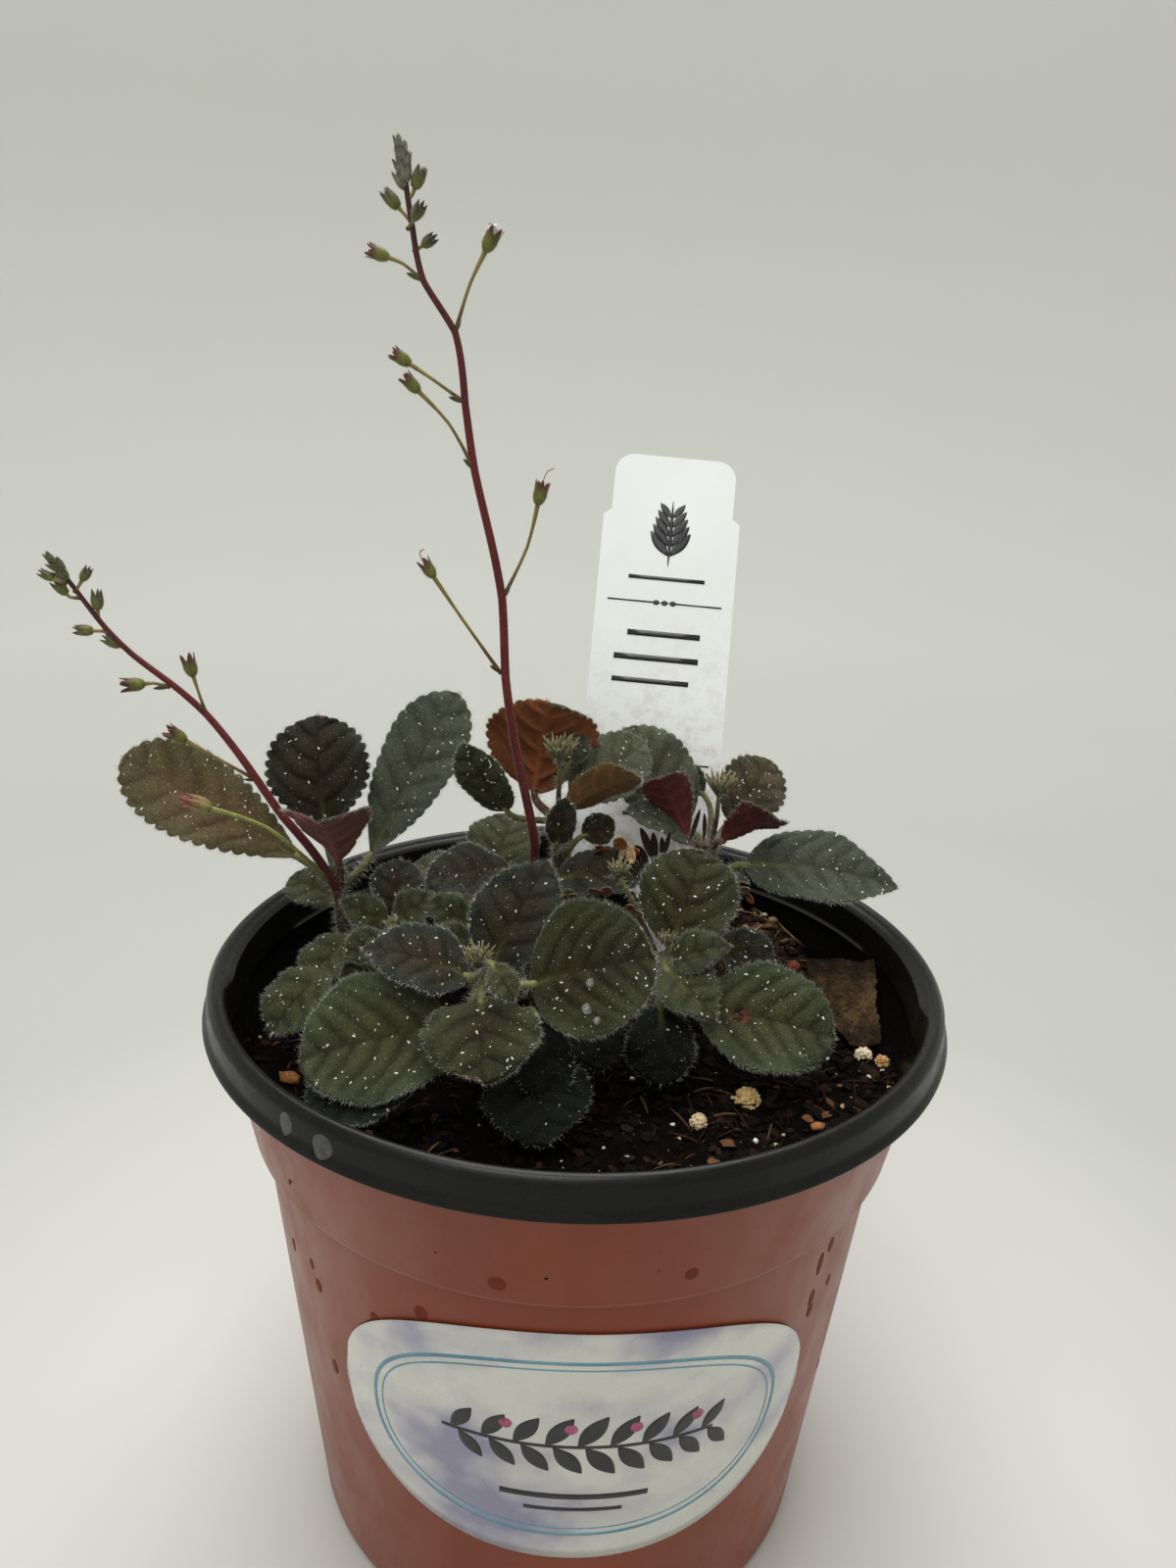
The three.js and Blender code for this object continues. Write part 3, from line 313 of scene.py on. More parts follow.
def add_tube(piece, path, radii, tints, sides=10, shag=1.0, finish=2):
    """A closed tube along a path, with radii and tints that change evenly along it."""
    tangents = unit(np.gradient(path, axis=0))
    share = np.linspace(0, 1, len(path))
    radii = np.interp(share, np.linspace(0, 1, len(radii)), radii)
    stops = np.linspace(0, 1, len(tints))
    ring = np.stack([np.interp(share, stops, c) for c in np.transpose(tints)], axis=1)
    normal = np.cross(tangents[0], [0.31, 0.2, 0.93] if abs(tangents[0][2]) < 0.9 else [1, 0, 0])
    turns = np.arange(sides) * 2 * np.pi / sides
    outward = []
    for tangent in tangents:
        normal = unit(normal - tangent * (normal @ tangent))
        outward.append(
            np.cos(turns)[:, None] * normal + np.sin(turns)[:, None] * np.cross(tangent, normal))
    rings = [place + radius * around for place, radius, around in zip(path, radii, outward)]
    piece.add(
        np.concatenate([*rings, path[:1], path[-1:]]), ring_faces(len(path), sides), finish,
        tint=np.concatenate([np.repeat(ring, sides, axis=0), ring[:1], ring[-1:]]),
        comb=np.concatenate([*outward, -tangents[:1], tangents[-1:]]), shag=shag)


print("sheet and tube helpers ready")

# %% [markdown]
# A leaf of this plant is oval, widest just past its middle, with rounded teeth. Its side veins
# leave the midrib at about fifty degrees and bend towards the tip. On the upper face they are
# sunk, and the blade swells between them like a quilt; on the lower face they stand out as
# ribs. All of that is one formula on a grid, so that each blade only needs its base, its tip,
# its width and the way that it faces. Each tint has a margin, a heart and an underside, in
# thousandths of full light.

# %% Leaf forms and tints
def written(text):
    """The rows of a written table, parted by ; or a new line: each its numbers and its words."""
    rows = []
    for line in text.replace(";", "\n").strip().splitlines():
        cells = line.split()
        words = [c for c in cells if c[0].isalpha()]
        rows.append(([float(c) for c in cells if c not in words], words))
    return rows


def threes(numbers):
    return [tuple(numbers[k:k + 3]) for k in range(0, len(numbers), 3)]


FORMS = {"oval": (0.62, 0.55), "pointed": (0.6, 0.8), "round": (0.5, 0.5), "spoon": (0.95, 0.5),
         "fan": (0.85, 0.3)}
# Painted light in some tints: bronze, and rust in part, are made brighter as light coming through the blade;
# slate and frost are painted nearly black as deep shade.
TINT_TABLE = """
olive  45 55 28  42 41 16  140 70 40
moss  30 36 15  28 23 8  120 60 30
deep  23 30 22  30 21 10  100 50 30
grey  66 75 53  59 63 41  140 80 50
bronze  90 78 40  120 78 38  160 80 35
dusk  22 27 15  34 22 11  100 35 25
slate  4 6 5  4 5 4  20 18 15
frost  12 16 12  12 15 10  20 18 15
pale  85 94 62  78 80 48  160 110 70
rust  50 55 28  60 45 20  170 62 25
umber  60 58 34  65 50 25  130 70 26
wine  45 40 26  50 30 20  95 24 21
fawn  66 58 36  72 56 32  140 80 50
rose  60 60 40  70 55 35  140 58 50
"""
TINTS = {words[0]: threes([n / 1000 for n in numbers]) for numbers, words in written(TINT_TABLE)}
BARE = {"slate": 0.4}
# How strongly the painted shade in the veins darkens these tints.
VEIN_SHADE_BY_TINT = {"bronze": 0.5, "grey": 0.6, "pale": 0.6, "fawn": 0.8}
GREEN_STALK, BROWN_STALK = (0.17, 0.18, 0.055), (0.060, 0.026, 0.016)
RED_STALK, STEM_GREEN = (0.13, 0.050, 0.030), (0.050, 0.046, 0.024)
print(len(FORMS), "leaf forms and", len(TINTS), "tints")

# %% The blade formula
TOOTH_DEPTH = 1.0
ROWS_PER_TOOTH = 4
COLUMN_PITCH = 0.68
VEIN_PITCH = 5.6
BLADE_THICKNESS = 0.5
UNDERSIDE_DOWN = 0.3
UPPER, UNDER, STALK = 0, 1, 2


def half_width_at(t, form):
    """Half of a blade's width at a share t of its length: 1 where it is widest."""
    base, tip = FORMS[form]
    widest = base / (base + tip)
    return (t / widest) ** base * ((1 - t) / (1 - widest)) ** tip


def edge_rows(length, width, form):
    """Places of the rows, evenly along the edge, and how far each is into its tooth."""
    dense = (1 - np.cos(np.linspace(0, np.pi, 900))) / 2
    steps = np.hypot(np.gradient(dense * length), np.gradient(half_width_at(dense, form) * width / 2))
    travel = np.cumsum(steps) / steps.sum()
    teeth = max(4, round(steps.sum() / (1.8 + 0.03 * length)))
    share = np.linspace(0.003, 1, ROWS_PER_TOOTH * teeth + ROWS_PER_TOOTH // 2 + 1)
    return 0.001 + 0.9985 * np.interp(share, travel, dense), share, (teeth + 0.5) * share % 1


def blade_grid(base, tip, width, face, arch=0.1, cup=0.12, form="oval", teeth=0.5, seed=0):
    """A blade's middle surface as a grid, its veins, and the directions along and across it."""
    start = np.array(base)
    along = np.array(tip) - start
    length = np.linalg.norm(along)
    along /= length
    up = unit(np.array(face) - along * np.dot(face, along))
    across = np.cross(up, along)
    rows, share, tooth = edge_rows(length, width, form)
    columns = 2 * int(np.clip(width / 2 / COLUMN_PITCH, 5, 24))
    t, s = np.meshgrid(rows, np.linspace(-1, 1, columns + 1), indexing="ij")
    half = half_width_at(t, form) * width / 2

    crest = 1 - np.abs(2 * tooth ** 1.35 - 1) ** 2.4
    depth = teeth * min(TOOTH_DEPTH, 0.06 * width)
    bite = depth * (1 - crest) * np.clip((share - 0.1) / 0.15, 0, 1)
    pull = bite[:, None] * np.abs(s) ** 5
    rim = np.gradient(np.stack([rows * length, half[:, 0]]), axis=1)
    inward = np.stack([rim[1], -rim[0]]) / np.hypot(*rim)
    u = t * length + inward[0][:, None] * pull
    v = s * half + np.sign(s) * inward[1][:, None] * pull

    chance = random.Random(seed)
    phase, beat = chance.uniform(0, 6.3), chance.uniform(1.6, 2.6)
    size = float(np.clip(width / 24, 0.35, 1))
    pitch = 0.88 * length / int(np.clip(round(length / VEIN_PITCH), 3, 6))
    bent = 0.42 * np.abs(v) + 0.045 * v * v
    stray = 0.16 * np.sin(phase + 9 * t + 2 * np.sign(s)) + 0.12 * np.sin(2 * phase + 7 * s + 5 * t)
    run = u - bent - 0.05 * length + pitch * (0.14 * np.sign(v) + stray * np.abs(s))
    turn = run / pitch - 0.5
    gap = np.abs(turn - np.round(turn)) * pitch * 0.8
    begins = np.clip((run + 0.1 * length) / (0.15 * length), 0, 1)
    side_vein = np.exp(-(gap / (0.22 + 0.2 * size)) ** 2) * begins * (1 - 0.7 * np.abs(s) ** 2)
    # A broad band beside each side vein, used only for painted shade in the quilt's valleys.
    valley_shade = np.exp(-(gap / (0.35 + 0.75 * size)) ** 2) * begins * (1 - 0.6 * s * s)
    midrib = np.exp(-(v / (0.3 + 0.3 * size)) ** 2) * (1 - 0.5 * t)
    vein = np.maximum(0.85 * side_vein, midrib)
    clear = 1 - np.exp(-(v / (0.9 + 1.2 * size)) ** 2)
    pillow = np.abs(np.sin(np.pi * turn)) ** 0.7 * begins * clear * (1 - s ** 6)

    wave = np.abs(s) ** 3 * np.sin(phase + 6.3 * beat * t + 1.7 * np.sign(s))
    rise = 4 * arch * length * t * (1 - t) + cup * half * s * s
    rise = rise + size * (0.5 * pillow - 0.35 * vein + 0.9 * wave)
    grid = start + u[..., None] * along + v[..., None] * across + rise[..., None] * up
    return grid, t, s, half, vein, valley_shade, along, across, size


def blade_tint(t, s, half, tint, tone):
    """Each point's colour: green margins, a browner heart, and a midrib that starts pale."""
    margin, heart, _ = (np.array(c) * tone for c in TINTS[tint])
    share = ((1 - np.abs(s) ** 1.6) * (0.35 + 0.65 * np.sin(np.pi * t ** 0.8))).reshape(-1, 1)
    colour = margin + share * (heart - margin)
    midrib = np.exp(-(s * half / 0.5) ** 2) * np.clip(1 - t / 0.5, 0, 1)
    return colour + 0.7 * midrib.reshape(-1, 1) * (np.array(GREEN_STALK) - colour)


def add_blade(piece, tint, seed, **shape):
    grid, t, s, half, vein, valley_shade, along, across, size = blade_grid(seed=seed, **shape)
    thin = BLADE_THICKNESS / 2 * (1 - 0.5 * s ** 6)
    points, faces, normals, rim = sheet(grid, thin, thin + 0.35 * vein * size)
    cells = (t.shape[0] - 1) * (t.shape[1] - 1)
    t, s, vein, valley_shade = t.ravel(), s.ravel(), vein.ravel(), valley_shade.ravel()
    normals = normals.reshape(-1, 3)
    tone = 1 + random.Random(seed + 7).uniform(-0.14, 0.14)
    upper = blade_tint(t, s, half.ravel(), tint, tone)
    lower = np.ones((s.size, 1)) * np.array(TINTS[tint][2]) * tone

    over, under = unit(normals + 0.6 * along), unit(-normals + 0.5 * along)
    forward = 0.35 + 2.5 * (t > 0.97)
    outward = (np.sign(s) * np.abs(s) ** 6)[:, None] * across + forward[:, None] * along
    outward = unit(unit(outward) + 0.25 * normals)
    over[rim] = under[rim] = outward[rim]
    downy = BARE.get(tint, 1)
    fringe = np.zeros(s.size)
    fringe[rim] = downy
    # Painted shade: the upper face is darkened in its sunk veins and in the valleys beside them.
    dark = np.maximum(vein, 0.6 * valley_shade) * np.clip(0.25 + t / 0.4 + np.abs(s), 0, 1)
    dark = VEIN_SHADE_BY_TINT.get(tint, 1) * dark
    piece.add(
        points, faces, np.where(np.arange(len(faces)) < cells, UPPER, UNDER),
        tint=[upper, lower], comb=[over, under], vein=[dark, vein], fringe=[fringe, fringe],
        velvet=[downy * np.clip(1 - 0.85 * vein, 0.15, 1), np.full(s.size, UNDERSIDE_DOWN)],
        dust=[np.full(s.size, downy), np.zeros(s.size)])


def add_stalk(piece, start, base, tip, width, tint):
    """The stalk from the stem to the blade, on the curve that the solid's stalk follows."""
    root, end = np.array(start), np.array(base)
    reach = np.linalg.norm(end - root)
    along = unit(np.array(tip) - end)
    controls = [root, root + 0.4 * (end - root), end - 0.35 * reach * along, end]
    u = np.linspace(0, 1, max(5, int(reach / 1.1)))[:, None]
    path = sum(
        math.comb(3, k) * u ** k * (1 - u) ** (3 - k) * c for k, c in enumerate(controls))
    path = np.concatenate([path, [end + along * 1.2]])
    radius = 1.0 if width > 12 else 0.75
    red_backed = tint in ("rose", "wine", "rust", "umber")
    shades = [BROWN_STALK, RED_STALK] if red_backed else [STEM_GREEN, GREEN_STALK]
    add_tube(piece, path, [radius * 1.1, radius, radius * 0.85], shades)


print("blade formula ready")

# %% [markdown]
# These rows say where each shoot's leaves are, in millimetres, as in the solid model. A shoot
# has a root in the potting mix and a crown. Each leaf then has a row: the base and the tip of
# its blade, its width, which way its upper side looks, and where its stalk starts if that isn't
# the crown. Leaves are wine or rust where their underside shows. The bronze tint, and the rust
# one in part, is painted brighter as light coming through the blade from behind; the slate and
# frost tints are painted nearly black as the deep shade that those leaves lie in.

# %% Where the leaves are
SOIL_HEIGHT = 115
ROOT_DEPTH = 16
SHOOT_TABLE = """
shoot_front  -17 -18  -19 -24 143
-22 -25 143  -43 -26 149  16  0 -1 2  deep pointed
-18 -18 142  -7 -6 161  19  0 -1 1  deep pointed
-19 -29 140  -17 -47 133  23  0 -1 2  moss
-25 -32 135  -53 -39 131  27  0 -1 1.4  round teeth=0.25
-9 -27 143  15 -29 151  28  0 -1 1  moss round teeth=0.25
-17 -29 148  -12 -35 144  6  0 -1 1
-8 -26 135  -4 -39 123  12  0 -1 1  -18 -21 128  slate
-10 -28 125  -4 -47 120  22  0 -1 2  -17 -20 121  slate
-31 -38 128  -51 -45 124  17  0 -1 2  -17 -20 122  frost
-24 -2 143  -33 -2 149  8  0 -1 1  -18 -20 132
-23 -7 142  -31 -10 145  6  0 -1 1  -18 -20 132
tuft -20 -26 147 2.6
shoot_left  -42 3  -42 1 142
-43 0 142  -53 0 147  8  0 -1 1  pointed
-41 2 144  -41 8 154  12  0 -1 1  deep
-41 0 143  -32 0 149  9  0 -1 1  pointed
-54 -10 135  -64 -20 125  15  -0.5 -1 2  -42 2 127
-50 -3 140  -59 -11 131  12  -0.5 -1 2  -42 2 131
-42 -5 141  -50 -10 139  8  0 -1 1
shoot_right  16 -4  19 -8 141
20 -7 142  27 8 159  22  0 -1 1  moss
20 -9 140  32 -12 146  10  0 -1 1.4  pointed
19 -11 139  29 -22 134  13  0 -1 1.4  pointed
31 4 138  45 5 133  12  0 -1 1  18 -6 131  deep
26 -13 131  55 -18 128  25  0 -1 1.3  18 -6 125
18 -16 133  18 -28 122  15  0 -1 1.5  slate cup=-0.3
3 -16 131  6 -27 124  12  0 -1 1.2  17 -6 126  slate
tuft 19 -8 144 1.8
tuft 8 -2 157 2.2
sprig 18 -6 138  13 -3 148  8 -2 157
shoot_middle  -11 16  -11 17 147
-16 13 150  -35 8 149  16  0 -0.4 1  -11 16 133  deep
-6 9 150  15 13 151  13  0 -0.6 1  -11 16 138  deep
0 8 147  14 7 141  13  0 -1 0.3  -11 16 138  slate
shoot_tall  -3 22  -6 20 160
-3 24 165  14 31 177  16  0 -1 0.6  pale
-12 27 165  -9 20 189  27  0 1 0.3  rust teeth=0.8
-18 19 163  -27 12 181  12  -0.4 -1 0.2  arch=0.05
-4 24 173  -1 26 180  6  0 -1 0.4  -6 19 170  grey
-4 18 164  12 11 175  11  0.2 1 0.7  umber cup=0.3
-6 14 157  -4 12 169  7  0 -1 0.3  -5 20 153  deep
0 20 157  7 20 161  8  0 -1 0.2  -5 20 150  dusk
tuft -6 18 177 3.4
sprig -6 20 159  -6 19 168  -6 18 177
shoot_back_right  36 24  31 28 152
25 33 156  9 42 177  20  0 -1 0.5  pale
27 27 153  10 22 163  11  0.2 -0.4 1  grey
25 26 155  17 20 172  12  0 1 0.3  wine fan teeth=1 cup=0.25
33 25 155  45 17 164  14  0 1 0.8  wine fan teeth=1 cup=0.25
36 34 157  46 43 170  17  0 -1 0.5  fawn teeth=0.8
29 36 163  22 38 169  8  0 -1 0.5  31 28 150
39 23 150  75 20 147  20  0 -0.7 1  33 26 139  grey pointed teeth=0.4
tuft 32 28 167 3.2
sprig 31 28 151  32 28 160  32 28 167
shoot_far_left  -54 11  -55 9 146
-65 12 152  -104 14 174  21  0 -1 0.7  bronze spoon teeth=1 arch=0.03
-59 13 160  -62 22 183  24  0 -1 0.5  dusk teeth=1
-49 14 152  -30 24 189  19  -0.3 -1 0.3  grey spoon arch=0.05
-55 8 153  -56 -6 168  19  0 1 0.9  rose fan cup=0.4
-57 16 139  -70 22 142  12  0 -0.5 1  -54 10 134
shoot_back_left  -24 46  -24 47 128
-29 49 129  -45 52 134  16  -0.5 0 1
-24 54 129  -20 74 141  20  0 -0.5 1
-31 43 128  -50 34 131  16  0 0 1  deep
-18 44 129  -6 42 136  12  0 0 1
-26 41 130  -28 27 135  12  0 0 1  dusk
-29 53 122  -38 57 121  12  0 0.3 1  -24 46 120
-17 50 128  -4 60 131  13  0 0 1
tuft -24 47 131 2.2
shoot_back  24 56  24 57 129
19 60 130  5 65 134  13  -0.3 0 1
27 61 134  34 71 142  13  0 -0.5 1  arch=0.02
30 55 130  44 49 134  13  0.3 0 1  deep
24 63 131  20 75 141  11  0 -0.5 1  arch=0.02
31 57 122  41 52 121  11  0.2 0.2 1  24 56 119  slate
tuft 24 57 132 2
"""
SHOOTS = {}
for numbers, words in written(SHOOT_TABLE):
    kind = words[0] if words else ""
    if kind.startswith("shoot"):
        shoot = dict(root=numbers[:2], crown=numbers[2:], leaves=[], tufts=[], sprigs=[])
        SHOOTS[kind] = shoot
    elif kind == "tuft":
        shoot["tufts"].append(numbers)
    elif kind == "sprig":
        shoot["sprigs"].append(threes(numbers))
    else:
        leaf = dict(base=numbers[:3], tip=numbers[3:6], width=numbers[6], face=numbers[7:10])
        for word in words:
            label, _, value = word.partition("=")
            if value:
                leaf[label] = float(value)
            else:
                leaf["form" if label in FORMS else "tint"] = label
        shoot["leaves"].append((leaf.pop("tint", "olive"), numbers[10:] or shoot["crown"], leaf))
print(sum(len(shoot["leaves"]) for shoot in SHOOTS.values()), "leaves on", len(SHOOTS), "shoots")

# %% [markdown]
# The leaf finish is velvet. The tint that each blade carries is varied by a cloud of noise,
# and on the upper face it is darkened in and beside the sunk veins as painted shade. A stipple
# of paler dots stands for the foot of each hair and for painted glints on the hairs, which makes
# the blade look like velvet, and the shader's sheen for the down that is too fine to model. The
# underside is the same skin with paler veins and a weaker stipple. One leaf has a small burnt
# spot.

# %% Leaf finishes
SCORCHED = (0.0351, -0.0168, 0.1319)


def velvet(name, vein_share, vein_shade_and_rib_tone, cloudy, downy):
    made = Finish(name, Roughness=0.75, Sheen_Weight=0.08, Sheen_Roughness=0.5,
                  Sheen_Tint=(0.85, 0.88, 0.80, 1), Specular_IOR_Level=0.1)
    low, high = 1 - cloudy, 1 + cloudy
    cloud = made.drift(7, 3, low, high)
    coloured = made.tinted(made.value("tint", "Color"), cloud)
    mottle = made.drift(0.8, 2, low, high, (0.35, 0.7))
    coloured = made.mix(0.6, coloured, made.tinted(coloured, mottle))
    # On the upper face the vein value darkens the tint as painted shade; under the blade it makes the ribs
    # paler.
    vein = made.times(made.value("vein"), vein_share)
    coloured = made.mix(vein, coloured, made.tinted(coloured, vein_shade_and_rib_tone))
    # Paler dots: the feet of the hairs, and painted glints on them.
    feet = made.out("TexVoronoi", {"Vector": made.place, "Scale": 1 / (0.6 * MM)}, feature="F1")
    hair_dots_and_glints = made.ramp(feet, (0.12, 1.0), (0.42, 0.0))
    hair_dots_and_glints = made.times(hair_dots_and_glints, made.maths("SUBTRACT", 1.0, made.value("vein"), True))
    paler_with_glints = made.mix(1.0, made.tinted(coloured, (2.2, 2.2, 2.2)), (0.008, 0.009, 0.0075), "ADD")
    coloured = made.mix(made.times(hair_dots_and_glints, downy), coloured, paler_with_glints)
    away = made.maths("ADD", made.away(SCORCHED), made.times(made.noise(1.2, 2), 0.0026))
    burnt = made.ramp(made.times(away, 200.0), (0.62, 1.0), (0.67, 0.0))
    crust = made.drift(1.6, 2, (0.012, 0.005, 0.003), (0.085, 0.030, 0.012), (0.42, 0.56))
    swell = made.bump(made.noise(2.4, 2), 0.3, 0.7)
    return made.use(
        Base_Color=made.mix(burnt, coloured, crust), Normal=made.bump(hair_dots_and_glints, 0.10, 0.7, Normal=swell))


stalk = Finish("stalk_skin", Roughness=0.5, Sheen_Weight=0.12, Sheen_Roughness=0.4, Specular_IOR_Level=0.3)
streak = stalk.drift(1.3, 3, 0.75, 1.3, stretch=(1, 1, 0.2))
stalk_skin = stalk.use(
    Base_Color=stalk.tinted(stalk.value("tint", "Color"), streak),
    Normal=stalk.bump(stalk.noise(0.5, 2), 0.1))
# The upper face's veins get painted shade; the underside's ribs are paler.
plant_skins = [
    velvet("leaf_velvet", 1.0, (0.22, 0.20, 0.20), 0.24, 0.6),
    velvet("leaf_underside", 0.9, (1.8, 1.6, 1.6), 0.14, 0.3), stalk_skin]
print("leaf finishes ready:", [skin.name for skin in plant_skins])

# %% [markdown]
# Each shoot is one piece, as it is one solid: its stem, its leaf stalks, its blades and the
# tufts of tiny pointed buds at its growing tips. A tuft is a cluster of small spindles set by
# the golden angle, as the plant sets them.

# %% Build the shoots
GOLDEN_ANGLE = 2.4
BUDS_IN_TUFT = 30
BUD_PALE, BUD_TAN, BUD_GREEN = (0.24, 0.22, 0.10), (0.15, 0.13, 0.055), (0.08, 0.085, 0.03)
SPINDLE = (0.55, 0.9, 1.0, 0.9, 0.65, 0.35, 0.06)
FINGER = (0.6, 0.8, 0.9, 1.0, 1.0, 0.85, 0.3)


def add_spindle(piece, foot, direction, length, radius, tints, shag=1.5, sides=7, swell=SPINDLE):
    path = np.array(foot) + unit(direction) * np.linspace(0, length, len(swell))[:, None]
    add_tube(piece, path, radius * np.array(swell), tints, sides, shag)


def add_tuft(piece, centre, radius):
    tints = [BUD_GREEN, BUD_GREEN, BUD_TAN, BUD_PALE]
    for k in range(BUDS_IN_TUFT):
        lean = 0.06 + 0.62 * math.sqrt(k / BUDS_IN_TUFT)
        turn = GOLDEN_ANGLE * k
        way = np.array([math.sin(lean) * math.cos(turn), math.sin(lean) * math.sin(turn), math.cos(lean)])
        foot = np.array(centre) + way * radius * 0.1 - np.array([0, 0, 0.6 * radius])
        long = radius * (1.6 + 0.6 * (k % 3) / 2)
        add_spindle(piece, foot, way, long, radius * 0.1, tints, 0.35, 6, FINGER)


def build_shoot(shoot, order):
    piece = Piece()
    low = [(*shoot["root"], SOIL_HEIGHT + rise) for rise in (-ROOT_DEPTH, -4, 3)]
    stem = smooth_path([*low, shoot["crown"]], 1.2)
    add_tube(piece, stem, [2, 1.95, 1.8, 1.7], [BROWN_STALK, BROWN_STALK, STEM_GREEN], 12)
    for k, (tint, start, leaf) in enumerate(shoot["leaves"]):
        add_blade(piece, tint, 100 * order + k, **leaf)
        add_stalk(piece, start, leaf["base"], leaf["tip"], leaf["width"], tint)
    for path in shoot["sprigs"]:
        add_tube(piece, smooth_path(path, 1.2), [0.7, 0.5], [STEM_GREEN, BROWN_STALK, GREEN_STALK], 8)
    for *centre, radius in shoot["tufts"]:
        add_tuft(piece, centre, radius)
    return piece


shoot_pieces = [build_shoot(shoot, order) for order, shoot in enumerate(SHOOTS.values())]
for name, piece in zip(SHOOTS, shoot_pieces):
    show_piece(name + "_fine", piece, plant_skins, "leaf", name)

# %% [markdown]
# The racemes are the red flower stems. Their buds stand on thin stalks: a green cup whose rim
# opens in five pointed brown-red lobes. Most have dropped their flower, two keep a bent style,
# one still holds a scrap of white petal, and one is a long bud that is still closed. A flower's
# row is its stalk's start, middle and end, its size, and what it keeps.

# %% Where the flower stems are
DEEP_RED, WINE_BROWN, PURPLE_BROWN = (0.120, 0.014, 0.013), (0.055, 0.008, 0.012), (0.045, 0.018, 0.017)
CUP_GREEN, LOBE_RED = (0.15, 0.16, 0.03), (0.095, 0.030, 0.020)
BUD_OLIVE, BUD_GREY = (0.10, 0.11, 0.035), (0.19, 0.20, 0.135)
PEDICEL, YELLOW_GREEN = (0.23, 0.175, 0.055), (0.27, 0.28, 0.07)
PETAL_WHITE, DRY_STYLE = (0.85, 0.82, 0.80), (0.4, 0.25, 0.15)
RACEMES = {
    "raceme_tall": dict(
        radii=(1.1, 0.95, 0.8, 0.5), tip=(9, 3.7, BUD_GREY),
        stem="""
-11 17 141; -11 13 150; -11 11 159; -15 10 178; -18 9 197; -19 9 214; -22 9 228; -25 9 240; -27 9 253
-29 9 266; -35 8 275; -37 8 284; -39 8 297
""", flowers="""
-19 9 198  -27 6 210  -33 5 219  4.5 style
-19 9 214  -14 10 225  -12 10 234  5 style
-25 9 240  -30 7 249  -36 6 255  4.5
-27 9 253  -33 8 257  -38 8 260  4.5
-29 9 266  -26 8 275  -23 8 281  5 petal
-35 8 275  -39 8 278  -42 8 279  4.5
-37 8 280  -35.5 8 281  -34.5 7 281.5  3.4
-37 8 285  -39 8 287  -40 8 288  3.8
-38 8 289  -37 8 290  -36.4 8 291.5  3.8
-38 8 284  -37 7 285  -36.2 6 286  3.6
"""),
    "raceme_left": dict(
        radii=(1.1, 0.9, 0.7, 0.45), tip=(7, 3.2, BUD_OLIVE),
        stem="""
-55 9 141; -56 8 147; -62 8 157; -67 7 164; -74 6 176; -82 6 187; -89 5 194; -96 4 200; -101 3 206
-106 2 214; -109 1 219
""", flowers="""
-72 7 172  -79 3 178  -85 0 183  5
-56 8 147  -69 2 163  -80 -3 169  6.5 closed
-82 6 187  -83 5 192  -84 5 196  5
-89 5 193  -92 4 194  -94 3 194  5
-96 4 200  -97 4 201  -99 4 202  3.6
-100 3 205  -102 3 205  -104 3 205  3.6
-101 3 206  -102 3 208  -102 3 210  3.8
-105 2 212  -107 2 212  -108 2 213  3.4
-106 2 213  -105 2 214.5  -104 2 216  3
-107 1 215  -109 1 215.5  -110 1 216  3
"""),
}
print(len(RACEMES), "racemes with", [len(written(r["flowers"])) for r in RACEMES.values()], "flowers")

# %% Cups, petals and buds
SMALL_BUD = 4
STYLE_HOOK = [(0.4, (0, 0, 0)), (1.0, (0, 0, 0)), (1.3, (0.5, 0, 0.4)), (1.4, (1.6, 0, 0.5))]


def frame_along(direction):
    """The given direction, and two that are square to it."""
    direction = unit(direction)
    one = unit(np.cross(direction, [0.3, 1, 0.2]))
    return direction, one, np.cross(direction, one)


def add_calyx(piece, place, direction, size):
    """A cup with five pointed lobes: a ring of points for each step up its outside and back down."""
    along, one, two = frame_along(direction)
    turns = np.linspace(0, 2 * np.pi, 31)[:-1]
    lobe = (0.5 + 0.5 * np.cos(5 * turns)) ** 0.9
    flare, rise = 0.07 * lobe - 0.02, 0.09 + 0.36 * lobe
    cup = [(0.11, 0.0), (0.18, 0.06), (0.26, 0.22), (0.29, 0.4), (0.28, 0.55)]
    rings = cup + [(0.28 + flare * share, 0.55 + rise * share) for share in (0.35, 0.7, 1.0)]
    rings += [(0.24 + flare * share, 0.53 + rise * share) for share in (0.97, 0.5)]
    points, tints = [], []
    for r, z in [*rings, (0.13, 0.48)]:
        z = z + 0 * lobe
        ring = one * (r * np.cos(turns))[:, None] + two * (r * np.sin(turns))[:, None]
        points.append(place + size * (ring + along * z[:, None]))
        red = np.clip((z - 0.35) / 0.4, 0, 1)[:, None]
        tints.append((1 - red) * np.array(CUP_GREEN) + red * np.array(LOBE_RED))
    faces = ring_faces(len(points), len(turns))
    points = np.concatenate([*points, [place, place + along * size * 0.46]])
    piece.add(points, faces, STALK, tint=np.concatenate([*tints, [CUP_GREEN, LOBE_RED]]),
              comb=unit(points - (place + along * size * 0.3)), shag=1.2)


